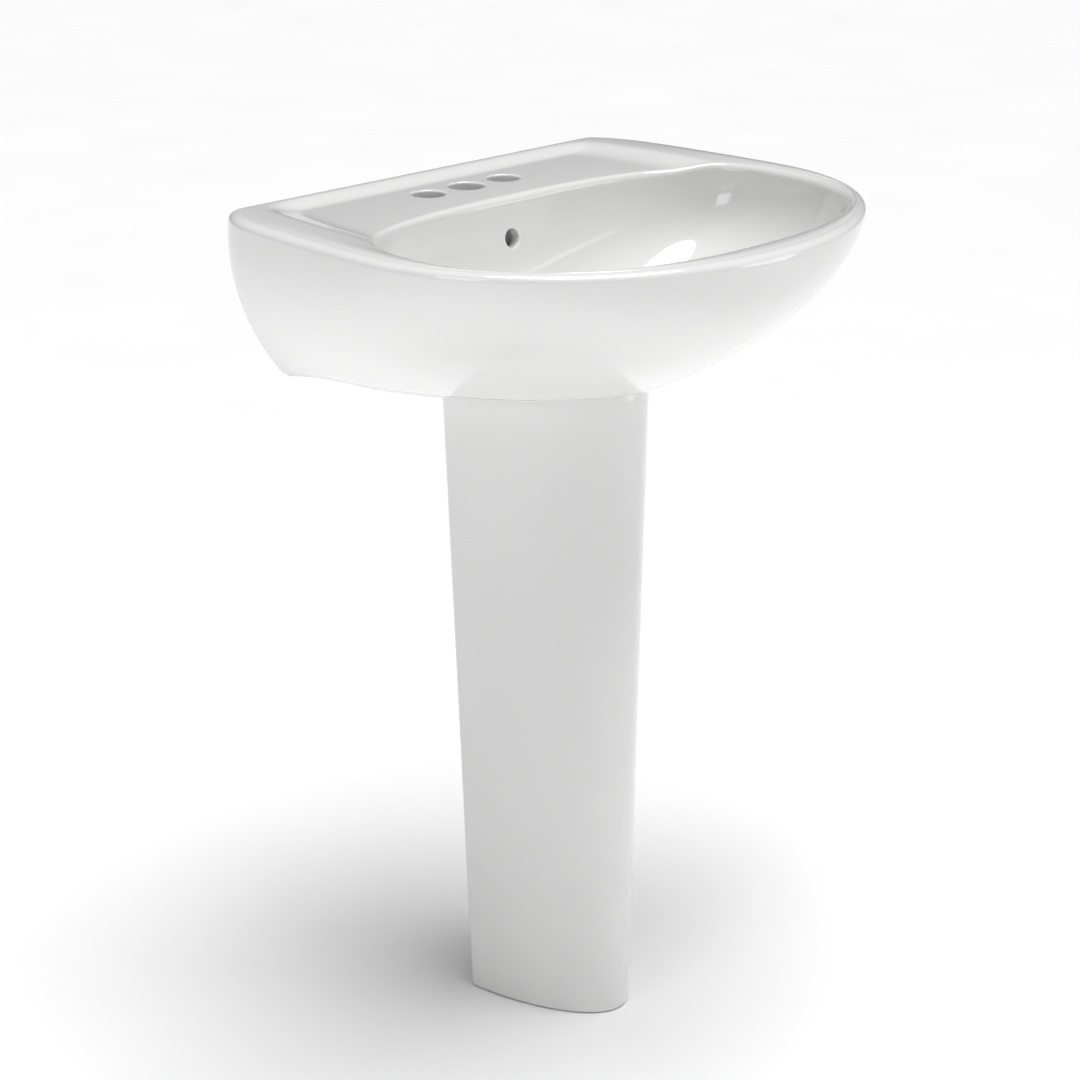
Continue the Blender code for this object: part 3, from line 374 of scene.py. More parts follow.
def place(obj, node, slot, body=BODY):
    """Give a finished piece its finish and its place in the frame."""
    if not obj.data.polygons:
        raise RuntimeError(f"{obj.name} came out empty")
    select_only(obj)
    bpy.ops.object.shade_smooth_by_angle(angle=math.radians(38))
    obj.data.materials.clear()
    obj.data.materials.append(finish_of(slot))
    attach(obj, body)
    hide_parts(node)
    return obj


def smooth(low, high, value):
    """0 below low, 1 above high, with a soft start and end."""
    t = min(1.0, max(0.0, (value - low) / (high - low)))
    return t * t * (3 - 2 * t)


def rounded(corners, radius=0.0004, steps=3):
    """A closed outline with its corners rounded; points on the axis stay."""
    points = []
    for i, corner in enumerate(corners):
        here = Vector(corner)
        if here.x < 1e-6:
            points.append(here)
            continue
        back = Vector(corners[i - 1]) - here
        ahead = Vector(corners[(i + 1) % len(corners)]) - here
        size = min(radius, 0.45 * back.length, 0.45 * ahead.length)
        start = here + back.normalized() * size
        end = here + ahead.normalized() * size
        for k in range(steps + 1):
            t = k / steps
            points.append(start * (1 - t) ** 2 + here * 2 * t * (1 - t) + end * t ** 2)
    return points


def spun(name, profile, centre, along_y=False, segments=72):
    """Spin a closed (radius, height) outline round an upright axis, or one that runs out of the wall."""
    mesh = bpy.data.meshes.new(name)
    count = len(profile)
    edges = [(i, (i + 1) % count) for i in range(count)]
    edges = [(a, b) for a, b in edges if max(profile[a][0], profile[b][0]) > 1e-6]
    mesh.from_pydata([(radius, 0.0, height) for radius, height in profile], edges, [])
    obj = bpy.data.objects.new(name, mesh)
    bpy.context.scene.collection.objects.link(obj)
    select_only(obj)
    bpy.ops.object.mode_set(mode='EDIT')
    bpy.ops.mesh.select_all(action='SELECT')
    bpy.ops.mesh.spin(steps=segments, angle=2 * math.pi, center=(0.0, 0.0, 0.0), axis=(0.0, 0.0, 1.0))
    bpy.ops.object.mode_set(mode='OBJECT')
    settle(obj, centre, along_y)
    return tidy(obj)


def settle(obj, centre, along_y=False):
    """Move a piece made round the world's Z axis to its place, within its mesh."""
    for vert in obj.data.vertices:
        x, y, z = vert.co
        vert.co = Vector((x, -z, y)) + centre if along_y else Vector((x, y, z)) + centre
    obj.data.update()


def thread(profile, radius, pitch):
    """A spin outline whose run at one radius is fine enough to carry a thread."""
    fine = []
    for i, point in enumerate(profile):
        after = profile[(i + 1) % len(profile)]
        fine.append(point)
        run = abs(point.x - radius) < 1e-6 and abs(after.x - radius) < 1e-6
        if run and abs(after.y - point.y) > 2 * pitch:
            count = math.ceil(abs(after.y - point.y) / (pitch / 6))
            fine += [point.lerp(after, k / count) for k in range(1, count)]
    return fine


def wind_thread(obj, centre, radius, low, high, pitch, depth, along_y=False):
    """Sink a helical groove into the points that lie at one radius between two heights."""
    for vert in obj.data.vertices:
        spot = vert.co - centre
        across = Vector((spot.x, spot.z)) if along_y else Vector((spot.x, spot.y))
        height = -spot.y if along_y else spot.z
        if abs(across.length - radius) > 2e-5 or not low < height < high:
            continue
        phase = height / pitch - math.atan2(across.y, across.x) / (2 * math.pi)
        ease = min(1.0, (height - low) / pitch, (high - height) / pitch)
        groove = depth * ease * (0.5 - 0.5 * math.cos(2 * math.pi * phase))
        across = across * (1 - groove / radius)
        spot = Vector((across.x, spot.y, across.y)) if along_y else Vector((across.x, across.y, spot.z))
        vert.co = centre + spot
    obj.data.update()


def box_solid(name, x_range, y_range, z_range, turn, centre):
    """A bar turned about the upright axis through centre; its callers soften its edges."""
    bpy.ops.object.select_all(action='DESELECT')
    bpy.ops.mesh.primitive_cube_add(size=1.0)
    obj = bpy.context.active_object
    obj.name = name
    for vert in obj.data.vertices:
        spot = [low + (high - low) * (part + 0.5)
                for part, (low, high) in zip(vert.co, (x_range, y_range, z_range))]
        across = Vector((spot[0], spot[1])) @ turning(turn)
        vert.co = Vector((across.x, across.y, spot[2])) + centre
    return obj


def turning(angle):
    """Plane turn, for a row vector."""
    return Matrix(((math.cos(angle), math.sin(angle)), (-math.sin(angle), math.cos(angle))))


def ring_solid(name, half_rings):
    """Closed solid through half rings that start and end on x = 0, mirrored.

    Each cap is one face along the straight back, and strips from there to the front.
    """
    verts = []
    faces = []
    count = 2 * len(half_rings[0]) - 2
    last = len(half_rings[0]) - 1
    for half in half_rings:
        verts += half
        verts += [Vector((-p.x, p.y, p.z)) for p in reversed(half[1:-1])]
    for row in range(len(half_rings) - 1):
        low, high = row * count, (row + 1) * count
        for i in range(count):
            j = (i + 1) % count
            faces.append((low + i, low + j, high + j, high + i))
    for row in (0, len(half_rings) - 1):
        start = row * count
        half = half_rings[row]
        straight = next(i for i in range(1, last) if abs(half[i].y - half[0].y) > 1e-6)
        faces.append((*range(start, start + straight + 1), *range(start + count - straight, start + count)))
        for i in range(straight, last - 1):
            faces.append((start + i, start + i + 1, start + count - i - 1, start + count - i))
        faces.append((start + last - 1, start + last, start + last + 1))
    return solid(name, verts, faces)


# ---- shapes of the china ----

FINE = (30, 5, 28, 48)        # steps along the back, its corner, the side and the front
COARSE = (12, 2, 12, 22)


def bowl_closing(share):
    """How much of the bowl's reach beyond its floor is left at a share of its depth."""
    return max(0.0, 1 - share ** BOWL_POWER) ** BOWL_CLOSING


class China:
    """The sizes of the china together, with the curves that its surfaces follow."""

    def __init__(self):
        scene = bpy.context.scene
        self.s = scene.sink_basin
        self.p = scene.sink_pedestal
        low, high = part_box("basin")
        self.rim = high.z
        self.half_width = high.x
        self.reach = high.y - low.y
        self.wall = high.y
        drain_low, drain_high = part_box("drain_body")
        self.drain = Vector((0.0, (drain_low.y + drain_high.y) / 2, 0.0))
        self.drain_out = self.wall - self.drain.y
        self.ped_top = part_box("pedestal")[1].z
        self.ped_out = self.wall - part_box("pedestal")[1].y
        self.floor_z = self.rim - self.s.bowl_depth

    def flare(self, u, power):
        """Share of the way from the back's width to the widest, along the side."""
        slow = math.sin(math.pi * u / 2) ** 2
        return FLARE_QUICK * (1 - (1 - u) ** power) + FLARE_SLOW * slow

    def rim_half_width(self, out):
        """Half width of the rim's outside at a distance from the wall."""
        u = min(1.0, out / self.s.rim_widest)
        back = self.back_half(0.0)
        return back + (self.half_width - back) * self.flare(u, RIM_FLARE)

    def back_half(self, drop):
        """Half width of the back panel at a drop under the rim."""
        return self.s.back_width / 2 - BACK_TUCK * ((drop - BACK_WIDEST_DROP) / BACK_TUCK_DROP) ** 2

    def shell(self, share, inset=0.0, back_inset=None, front_inset=None, steps=FINE):
        """Right half of the outside at a share of its drop, from the back's middle to the front tip."""
        back_inset = inset if back_inset is None else back_inset
        front_inset = inset if front_inset is None else front_inset
        along, corner, side, front = steps
        width = self.half_width - self.s.side_tuck * share ** SIDE_CURVE - inset
        tip = self.reach - self.s.front_tuck * share ** FRONT_CURVE - front_inset
        widest = self.s.rim_widest - WIDEST_SHIFT * share
        back = self.back_half(share * self.s.drop) - inset
        side_power = RIM_FLARE - FLARE_LOSS * share
        points = [((back - BACK_CORNER) * k / along, back_inset) for k in range(along)]

        def side_point(u):
            out = back_inset + (widest - back_inset) * u
            return Vector((back + (width - back) * self.flare(u, side_power), out))
        first = Vector((back - BACK_CORNER, back_inset))
        middle = Vector((back, back_inset))
        end = side_point(CORNER_END)
        for k in range(corner):
            t = k / corner
            spot = first * (1 - t) ** 2 + middle * 2 * t * (1 - t) + end * t ** 2
            points.append((spot.x, spot.y))
        for k in range(side):
            spot = side_point(CORNER_END + (1 - CORNER_END) * (k / side) ** 1.5)
            points.append((spot.x, spot.y))
        power = TIP_POWER - TIP_LOSS * share + TIP_SWELL * share * (1 - share)
        points += self.arc(width, widest, tip - widest, power, power, front)
        return points

    def arc(self, width, start_out, depth, power, tip_power, steps, first=0.0):
        """Superellipse quarter from the side to the front tip."""
        points = []
        for k in range(steps + 1):
            angle = first + (math.pi / 2 - first) * k / steps
            x = width * math.cos(angle) ** (2 / tip_power) if k < steps else 0.0
            points.append((x, start_out + depth * math.sin(angle) ** (2 / power)))
        return points

    def shell_ring(self, half, share, lift=0.0):
        """The same points in space; the underside rises away from the wall."""
        ring = []
        for x, out in half:
            drop = self.s.drop - UNDERSIDE_RISE * (1 - math.exp(-max(out, 0.0) / RISE_LENGTH))
            ring.append(Vector((x, self.wall - out, self.rim - share * drop + lift)))
        return ring

    def bowl(self, share, outset=0.0, steps=FINE):
        """Right half of the bowl's outline at a share of its depth, as (x, out)."""
        along, corner, side, front = steps
        width = self.s.mouth_width / 2
        widest = self.s.mouth_widest - BOWL_SHIFT * share
        depth = widest - self.s.mouth_back
        corner_share = 0.80
        points = []
        for k in range(along):
            part = corner_share * k / along
            points.append((width * part, widest - depth * (1 - part ** BACK_POWER) ** (1 / BACK_POWER)))
        first = math.asin(corner_share ** (BACK_POWER / 2))
        for k in range(corner + side):
            angle = first + (math.pi / 2 - first) * k / (corner + side)
            out = widest - depth * math.cos(angle) ** (2 / BACK_POWER)
            points.append((width * math.sin(angle) ** (2 / BACK_POWER), out))
        power = BOWL_TIP_POWER - BOWL_TIP_LOSS * share
        points += self.arc(width, widest, self.s.mouth_front - widest, power, power, front)
        floor_radius = self.s.floor_radius + outset
        closing = bowl_closing(share)
        shaped = []
        for x, out in points:
            away = out - self.drain_out
            length = math.hypot(x, away)
            radius = floor_radius + (length + outset - floor_radius) * closing
            shaped.append((x / length * radius, self.drain_out + away / length * radius))
        return shaped

    def deck_fall(self, x, out):
        """How far the top lies under the rim at a spot: the tap deck is sunk behind the bowl."""
        edge = self.rim_half_width(out) - abs(x)
        t = (edge - self.s.border) / self.s.border_slope
        t = min(1.0, (t + math.hypot(t, DECK_EASE)) / 2)
        side = 1 - (1 - t) ** 2
        return self.s.deck_drop * side * smooth(*DECK_BACK, out) * (1 - smooth(*DECK_FRONT, out))

    def pedestal(self, z, inset=0.0, start_out=0.0, steps=40):
        """Right half of the pedestal's outline at a height, from its back edge to the front tip."""
        share = z / self.ped_top
        width = (self.p.foot_width + (self.p.top_width - self.p.foot_width) * share) / 2 - inset
        depth = self.p.foot_depth + (self.p.top_depth - self.p.foot_depth) * share - inset
        power = PEDESTAL_POWER - PEDESTAL_LOSS * share
        first = math.asin((start_out / depth) ** (power / 2)) if start_out > 0 else 0.0
        return self.arc(width, self.ped_out, depth, power, 2.0, steps, first)

    def wall_loop(self, z, outer, inner, round_back=0.0, extend=0.0, steps=40):
        """Half ring of the pedestal's wall: inner tip, back edge, outer tip."""
        inside = self.pedestal(z, inner, round_back, steps)
        outside = self.pedestal(z, outer, round_back, steps)
        loop = list(reversed(inside))
        if extend > 0:
            loop += [(inside[0][0], self.ped_out - extend), (outside[0][0], self.ped_out - extend)]
        if round_back > 0:
            for k in range(1, 8):
                angle = math.pi * k / 8
                middle = (inside[0][0] + outside[0][0]) / 2
                half = (outside[0][0] - inside[0][0]) / 2
                out = self.ped_out + round_back * (1 - math.sin(angle))
                loop.append((middle - half * math.cos(angle), out))
        loop += outside
        return [Vector((x, self.wall - out, z)) for x, out in loop]

    def loop_solid(self, name, loops):
        """Closed solid through wall loops; each mirrors about x = 0 and is capped across its wall."""
        verts = []
        faces = []
        count = 2 * len(loops[0])
        half = len(loops[0])
        for loop in loops:
            verts += loop
            verts += [Vector((-p.x, p.y, p.z)) for p in reversed(loop)]
        for row in range(len(loops) - 1):
            low, high = row * count, (row + 1) * count
            for i in range(count):
                if i in (half - 1, count - 1):
                    continue
                faces.append((low + i, low + i + 1, high + i + 1, high + i))
        for start in (0, (len(loops) - 1) * count):
            for side in (0, half):
                for i in range(half // 2):
                    a, b = start + side + i, start + side + half - 1 - i
                    if b - a > 2:
                        faces.append((a, a + 1, b - 1, b))
                    elif b - a == 2:
                        faces.append((a, a + 1, b))
        return solid(name, verts, faces)


def basin_skin(c):
    """The whole glazed surface in one run of rings: bowl, lip, deck and rim, edge, belly, underside."""
    s = c.s
    rings = []
    lip_share = s.lip / s.bowl_depth
    top = c.bowl(0.0, s.lip)
    falls = [c.deck_fall(x, out) + s.crown for x, out in top]

    def bowl_row(share, outset, depth):
        half = c.bowl(share, outset)
        fade = 1.0 if share <= lip_share else (1 - (share - lip_share) / (1 - lip_share)) ** 6
        return [Vector((x, c.wall - out, c.rim - depth - fall * fade)) for (x, out), fall in zip(half, falls)]
    rows = 36
    for k in range(rows + 1):
        share = 1 - (1 - lip_share) * (k / rows) ** 1.25
        rings.append(bowl_row(share, 0.0, share * s.bowl_depth))
    for k in range(1, 9):
        angle = math.pi / 2 * k / 8
        drop = s.lip * (1 - math.sin(angle))
        rings.append(bowl_row(drop / s.bowl_depth, s.lip * (1 - math.cos(angle)), drop))
    edge = c.shell(0.0, s.edge_width, 0.4 * s.edge_width)
    rows = 46
    for k in range(1, rows + 1):
        t = k / rows
        ring = []
        for (x0, out0), (x1, out1) in zip(top, edge):
            x, out = x0 + (x1 - x0) * t, out0 + (out1 - out0) * t
            fall = c.deck_fall(x, out) + s.crown * (2 * t - 1) ** 2
            ring.append(Vector((x, c.wall - out, c.rim - fall)))
        rings.append(ring)
    for k in range(1, 10):
        angle = math.pi / 2 * k / 9
        inset = s.edge_width * (1 - math.sin(angle))
        share = (s.crown + s.edge_depth * (1 - math.cos(angle))) / s.drop
        rings.append(c.shell_ring(c.shell(share, inset, 0.4 * inset), share))
    start = (s.crown + s.edge_depth) / s.drop
    rows = 40
    for k in range(1, rows):
        share = start + (1 - start) * k / rows
        rings.append(c.shell_ring(c.shell(share), share))
    foot = 0.004
    for k in range(5):
        angle = math.pi / 2 * k / 4
        half = c.shell(1.0, foot * (1 - math.cos(angle)))
        rings.append(c.shell_ring(half, 1.0, foot * (1 - math.sin(angle))))
    return ring_solid("basin_glazed", rings)


def basin_hollow(c):
    """The hollow under the deck and round the bowl, with the bowl, boss, socket and duct left standing."""
    s = c.s
    top_share = (s.deck_drop + 0.013) / s.drop
    rings = []
    for k in range(13):
        share = top_share + (1.0 - top_share) * k / 12
        rings.append(c.shell_ring(c.shell(share, s.china, None, 0.040, COARSE), share, s.china * share))
    hollow = ring_solid("hollow", rings)
    opening = [(0.0, 0.005)] + [(c.pedestal(c.ped_top, c.p.china + SOCKET_SLACK, 0.0, 24)[0][0], 0.005)]
    opening += c.pedestal(c.ped_top, c.p.china + SOCKET_SLACK, 0.0, 24)
    rings = [[Vector((x, c.wall - out + 0.010 * (out < 0.01), z)) for x, out in opening]
             for z in (c.rim - s.drop - 0.035, c.rim - s.drop + 0.045)]
    cut(hollow, ring_solid("pipe_opening", rings), 'UNION')
    boss_z = c.floor_z - BOSS_DEPTH
    heights = (boss_z - 0.031, c.floor_z + 0.0017)
    inner = c.p.china + SOCKET_SLACK + 0.010
    wall = [c.wall_loop(z, -SOCKET_SLACK - 0.010, inner, 0.0, 0.0, 24) for z in heights]
    cut(hollow, c.loop_solid("socket_wall", wall))
    rings = [bowl_cutter_ring(c, 0.0, 0.010, c.rim + 0.002)]
    for share in (0.1, 0.2, 0.3, 0.4, 0.5, 0.6, 0.7, 0.8, 0.87, 0.93, 0.97, 1.0):
        rings.append(bowl_cutter_ring(c, share, 0.010, c.rim - share * (s.bowl_depth + 0.010)))
    cut(hollow, ring_solid("bowl_body", rings))
    cut(hollow, spun("boss_keep", [(0.0, boss_z - 0.001), (0.039, boss_z - 0.001), (0.039, c.floor_z),
                                   (0.0, c.floor_z)], c.drain))
    cut(hollow, duct(c, "duct_body", 0.038, 0.022))
    return hollow


def bowl_cutter_ring(c, share, outset, z):
    """One coarse ring of the bowl with its wall."""
    return [Vector((x, c.wall - out, z)) for x, out in c.bowl(share, outset, COARSE)]


def duct(c, name, width, depth):
    """Solid down the overflow's path behind the bowl, from above the hole to the drain's ring chamber."""
    s = c.s
    gap = 0.015
    path = [(s.mouth_back - gap, c.rim - s.overflow_drop + 2 * s.overflow_radius)]
    for share in (0.36, 0.44, 0.52, 0.60, 0.68, 0.76, 0.83, 0.89):
        back = c.drain_out - s.mouth_back
        reach = s.floor_radius + gap + (back - s.floor_radius) * bowl_closing(share)
        path.append((c.drain_out - reach, c.rim - share * (s.bowl_depth + gap)))
    level = c.floor_z - DUCT_LEVEL
    path += [(c.drain_out - 0.035, level), (c.drain_out - 0.025, level)]
    rows = []
    for i, (out, z) in enumerate(path):
        before, after = path[max(i - 1, 0)], path[min(i + 1, len(path) - 1)]
        run = Vector((after[0] - before[0], after[1] - before[1])).normalized()
        across = Vector((-run.y, run.x)) * depth / 2
        row = []
        for k in range(24):
            angle = 2 * math.pi * k / 24
            side = math.copysign(abs(math.cos(angle)) ** 0.35, math.cos(angle))
            thick = math.copysign(abs(math.sin(angle)) ** 0.35, math.sin(angle))
            row.append(Vector((side * width / 2, c.wall - out - thick * across.x, z + thick * across.y)))
        rows.append(row)
    verts = [spot for row in rows for spot in row]
    faces = [tuple(range(24)), tuple(range(len(verts) - 24, len(verts)))]
    for r in range(len(rows) - 1):
        for k in range(24):
            a, b = r * 24 + k, r * 24 + (k + 1) % 24
            faces.append((a, b, b + 24, a + 24))
    return solid(name, verts, faces)


def lipped_hole(name, radius, low, top, lip, centre):
    """Cutter for a round hole whose edge is rounded over where it meets the surface."""
    profile = [(0.0, low), (radius, low)] + lip_arc(radius, top, lip) + [(0.0, top + 0.003)]
    return spun(name, profile, centre, False, 64)


def lip_arc(radius, top, lip):
    """A hole's rounded edge, run on past the surface at its last slope so that it crosses it cleanly."""
    points = []
    last = math.radians(66.0)
    for k in range(7):
        angle = last * k / 6
        points.append((radius + lip * (1 - math.cos(angle)), top - lip * (math.sin(last) - math.sin(angle))))
    rise = 0.003
    points.append((points[-1][0] + rise * math.tan(last), top + rise))
    return points


class SINK_OT_basin(bpy.types.Operator):
    """Basin: glazed shell, bowl, sunk tap deck with its holes, overflow, drain seat and pedestal socket"""

    bl_idname = "sink.make_basin"
    bl_label = "Basin"

    def execute(self, context):
        c = China()
        s = c.s
        basin = basin_skin(c)
        boss_z = c.floor_z - BOSS_DEPTH
        boss = spun("boss", rounded([(0.0, boss_z), (0.038, boss_z), (0.038, c.floor_z - 0.005),
                                     (0.0, c.floor_z - 0.005)], 0.002), c.drain, False, 64)
        cut(basin, boss, 'UNION')
        cut(basin, basin_hollow(c))
        seat = c.ped_top + GAP
        inner = c.p.china + SOCKET_SLACK
        socket = [c.wall_loop(z, -SOCKET_SLACK, inner, 0.0, SOCKET_SLACK, 40) for z in (boss_z - 0.03, seat)]
        cut(basin, c.loop_solid("socket", socket))
        deck = c.rim - s.deck_drop
        holes = []
        for number in (-1, 0, 1):
            radius = s.tap_middle_radius if number == 0 else s.tap_radius
            spot = Vector((number * s.tap_pitch, c.wall - s.tap_out, 0.0))
            top = deck - self.deck_sag(c, spot)
            holes.append(lipped_hole(f"tap_hole_{number + 2}", radius, deck - 0.026, top, s.tap_lip, spot))
        for side in ("left", "right"):
            low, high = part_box(f"bolt_sleeve_{side}")
            spot = Vector(((low.x + high.x) / 2, c.wall, (low.z + high.z) / 2))
            bore = [(0.0, -0.001), (0.0069, -0.001), (0.0069, s.china + 0.003), (0.0, s.china + 0.003)]
            holes.append(spun(f"bolt_hole_{side}", bore, spot, True, 32))
        holes.append(self.drain_cutter(c, boss_z))
        for hole in holes:
            cut(basin, hole)
        duct_bore = duct(c, "duct_bore", 0.026, 0.010)
        cut(duct_bore, self.overflow_cutter(c), 'UNION')
        cut(basin, duct_bore)
        place(basin, "basin", "china")
        return {'FINISHED'}

    def deck_sag(self, c, spot):
        """How far the deck's surface at a spot differs from its lowest level."""
        return c.deck_fall(spot.x, c.wall - spot.y) - c.s.deck_drop + c.s.crown * 0.05

    def overflow_cutter(self, c):
        """Round hole square to the bowl's back wall, with a soft edge."""
        s = c.s
        share = s.overflow_drop / s.bowl_depth
        reach = c.drain_out - s.mouth_back - s.floor_radius
        out = c.drain_out - (s.floor_radius + reach * bowl_closing(share))
        profile = [(0.0, -0.018), (s.overflow_radius, -0.018)] + lip_arc(s.overflow_radius, 0.0, 0.0010)
        profile.append((0.0, 0.003))
        hole = spun("overflow_hole", profile, Vector((0.0, 0.0, 0.0)), True, 62)
        lean = math.radians(8.0)
        centre = Vector((0.0, c.wall - out, c.rim - s.overflow_drop))
        for vert in hole.data.vertices:
            x, y, z = vert.co
            back = y * math.cos(lean) + z * math.sin(lean)
            vert.co = centre + Vector((x, back, z * math.cos(lean) - y * math.sin(lean)))
        return tidy(hole)

    def drain_cutter(self, c, boss_z):
        """Stepped hole for the drain, with the ring chamber that takes the overflow."""
        chamber = c.floor_z - CHAMBER_DROP
        chamber_low = chamber - CHAMBER_HEIGHT
        recess = c.floor_z - RECESS_DEPTH
        profile = [(0.0, boss_z - 0.001), (DRAIN_HOLE, boss_z - 0.001), (DRAIN_HOLE, chamber_low),
                   (CHAMBER_RADIUS, chamber_low), (CHAMBER_RADIUS, chamber), (DRAIN_HOLE, chamber),
                   (DRAIN_HOLE, recess)]
        for k in range(5):
            angle = math.pi / 2 * k / 4
            radius = RECESS_RADIUS + RECESS_EDGE * (1 - math.cos(angle))
            profile.append((radius, recess + RECESS_DEPTH * math.sin(angle)))
        profile += [(RECESS_RADIUS + RECESS_EDGE, c.floor_z + 0.004), (0.0, c.floor_z + 0.004)]
        return spun("drain_hole", profile, c.drain, False, 72)


class SINK_OT_pedestal(bpy.types.Operator):
    """Pedestal: tapering D of even wall, open at the back, with a web and screw hole at its foot"""

    bl_idname = "sink.make_pedestal"
    bl_label = "Pedestal"

    def execute(self, context):
        c = China()
        p = c.p
        heights = []
        for k in range(6):
            angle = math.pi / 2 * k / 5
            heights.append((p.edge * (1 - math.cos(angle)), p.edge * (1 - math.sin(angle))))
        rows = 26
        top = c.ped_top - 0.002
        heights += [(p.edge + (top - p.edge) * k / rows, 0.0) for k in range(1, rows + 1)]
        heights += [(c.ped_top - 0.0007, 0.0004), (c.ped_top, 0.0016)]
        loops = [c.wall_loop(z, inset, p.china - 0.4 * inset, p.edge, 0.0, 64) for z, inset in heights]
        pedestal = c.loop_solid("pedestal_glazed", loops)
        back = c.ped_out + 0.055
        kept = [(x, out) for x, out in c.pedestal(0.0, p.china * 0.6, 0.0, 64) if out > back]
        outline = [(0.0, back), (kept[0][0], back)] + kept
        rings = [[Vector((x, c.wall - out, z)) for x, out in outline] for z in (0.001, p.web_height)]
        cut(pedestal, ring_solid("foot_web", rings), 'UNION')
        spot = Vector((0.0, c.wall - c.ped_out - 0.083, 0.0))
        cut(pedestal, lipped_hole("floor_hole", 0.0065, -0.002, p.web_height, 0.0015, spot))
        place(pedestal, "pedestal", "china")
        return {'FINISHED'}


# ---- drain ----

class SINK_OT_drain_body(bpy.types.Operator):
    """Drain body: flange and conical seat, threaded tube with overflow windows, and cross arms"""

    bl_idname = "sink.make_drain_body"
    bl_label = "Drain body"

    def execute(self, context):
        c = China()
        h = context.scene.sink_hardware
        low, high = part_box("drain_body")
        flange = high.x
        flange_z = high.z - 0.004
        profile = rounded([(h.body_bore, low.z), (h.body_radius, low.z), (h.body_radius, flange_z),
                           (flange, flange_z), (flange, flange_z + 0.002), (FLANGE_SHOULDER, high.z),
                           (SEAT_RADIUS, high.z), (h.body_bore, high.z - SEAT_DEPTH)], 0.0012, 4)
        thread_top = c.floor_z - 0.032
        profile = thread(profile, h.body_radius, h.pipe_pitch)
        body = spun("drain_body_chromed", profile, c.drain, False, 72)
        wind_thread(body, c.drain, h.body_radius, low.z + 0.001, thread_top, h.pipe_pitch, PIPE_GROOVE)
        spider = c.floor_z - 0.044
        hole = h.stem_radius + 2 * GAP
        hub = spun("hub", rounded([(hole, spider - 0.006), (HUB_RADIUS, spider - 0.006), (HUB_RADIUS, spider),
                                   (hole, spider)], 0.0006), c.drain, False, 40)
        for number in range(3):
            arm = box_solid(f"arm_{number}", (0.0045, h.body_bore + 0.001), (-0.0015, 0.0015),
                            (spider - 0.0055, spider - 0.0005), 2 * math.pi * number / 3 + 0.3, c.drain)
            bevel_edges(arm, 0.0005)
            cut(hub, arm, 'UNION')
        window_low = c.floor_z - 0.027
        for turn in (0.0, math.pi):
            window = box_solid("window", (-0.007, 0.007), (h.body_bore - 0.004, h.body_radius + 0.002),
                               (window_low, window_low + 0.012), turn, c.drain)
            bevel_edges(window, 0.0015)
            cut(body, window)
        cut(body, hub, 'UNION')
        place(body, "drain_body", "chrome")
        return {'FINISHED'}


def ring_piece(node, name, slot, inner, edge=0.0005, extra=None, centre=None, along_y=False, segments=72):
    """A plain ring that fills a node's box, with softened corners; extra adds corners at its inner top."""
    low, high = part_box(node)
    centre = centre or China().drain
    if along_y:
        outer, bottom, top = (high.x - low.x) / 2, centre.y - high.y, centre.y - low.y
    else:
        outer, bottom, top = high.x, low.z, high.z
    corners = [(inner, bottom), (outer, bottom), (outer, top), (inner, top)]
    obj = spun(name, rounded(extra or corners, edge), centre, along_y, segments)
    return place(obj, node, slot)


def nut_piece(node, name, slot, sides, bore, pitch, centre, along_y=False):
    """A nut that fills a node's box: chamfered flats outside and a threaded bore."""
    low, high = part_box(node)
    if along_y:
        bottom, top = centre.y - high.y, centre.y - low.y
        apothem = bpy.context.scene.sink_hardware.nut_across / 2
        reach = apothem / math.cos(math.pi / sides)
    else:
        bottom, top, reach = low.z, high.z, high.x
        apothem = reach * math.cos(math.pi / sides)
    count = 16 * sides
    chamfer = (reach - apothem) * 1.2
    outer = [(bottom, chamfer), (bottom + chamfer * 0.5, 0.0), (top - chamfer * 0.5, 0.0), (top, chamfer)]
    rows = []
    for z, less in outer:
        row = []
        for k in range(count):
            angle = 2 * math.pi * k / count
            off = (angle + math.pi / sides) % (2 * math.pi / sides) - math.pi / sides
            row.append((min(apothem / math.cos(off), reach - less), angle, z))
        rows.append(row)
    steps = max(6, math.ceil((top - bottom) / (pitch / 6)))
    for k in range(steps + 1):
        z = top + (bottom - top) * k / steps
        row = []
        for n in range(count):
            angle = 2 * math.pi * n / count
            wave = 0.5 - 0.5 * math.cos(2 * math.pi * (z / pitch - angle / (2 * math.pi)))
            row.append((bore + 0.35 * pitch * wave * (0 < k < steps), angle, z))
        rows.append(row)
    verts = []
    for row in rows:
        verts += [Vector((radius * math.cos(angle), radius * math.sin(angle), z)) for radius, angle, z in row]
    faces = []
    for r in range(len(rows)):
        a, b = r * count, ((r + 1) % len(rows)) * count
        faces += [(a + n, a + (n + 1) % count, b + (n + 1) % count, b + n) for n in range(count)]
    obj = solid(name, verts, faces)
    settle(obj, centre, along_y)
    tidy(obj)
    return place(obj, node, slot)


class SINK_OT_drain_clamp(bpy.types.Operator):
    """Flange seal, tapered gasket, friction washer and locknut that clamp the drain to the china"""

    bl_idname = "sink.make_drain_clamp"
    bl_label = "Drain seal, gasket, washer and locknut"

    def execute(self, context):
        c = China()
        inner = context.scene.sink_hardware.body_radius + GAP
        ring_piece("drain_flange_seal", "flange_seal_ring", "black_rubber", inner, 0.0005)
        low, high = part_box("drain_gasket")
        face = high.z - 0.004
        middle = (low.z + face) / 2
        corners = [(inner, low.z), (high.x - 0.003, low.z), (high.x, middle), (high.x, face),
                   (0.02195, face), (inner + 0.0004, high.z), (inner, high.z)]
        ring_piece("drain_gasket", "drain_gasket_ring", "black_rubber", inner, 0.0009, corners)
        ring_piece("drain_washer", "drain_washer_ring", "white_nylon", inner, 0.0006)
        nut_piece("drain_locknut", "drain_locknut_brass", "brass", 8, inner, 0.0022, c.drain)
        return {'FINISHED'}


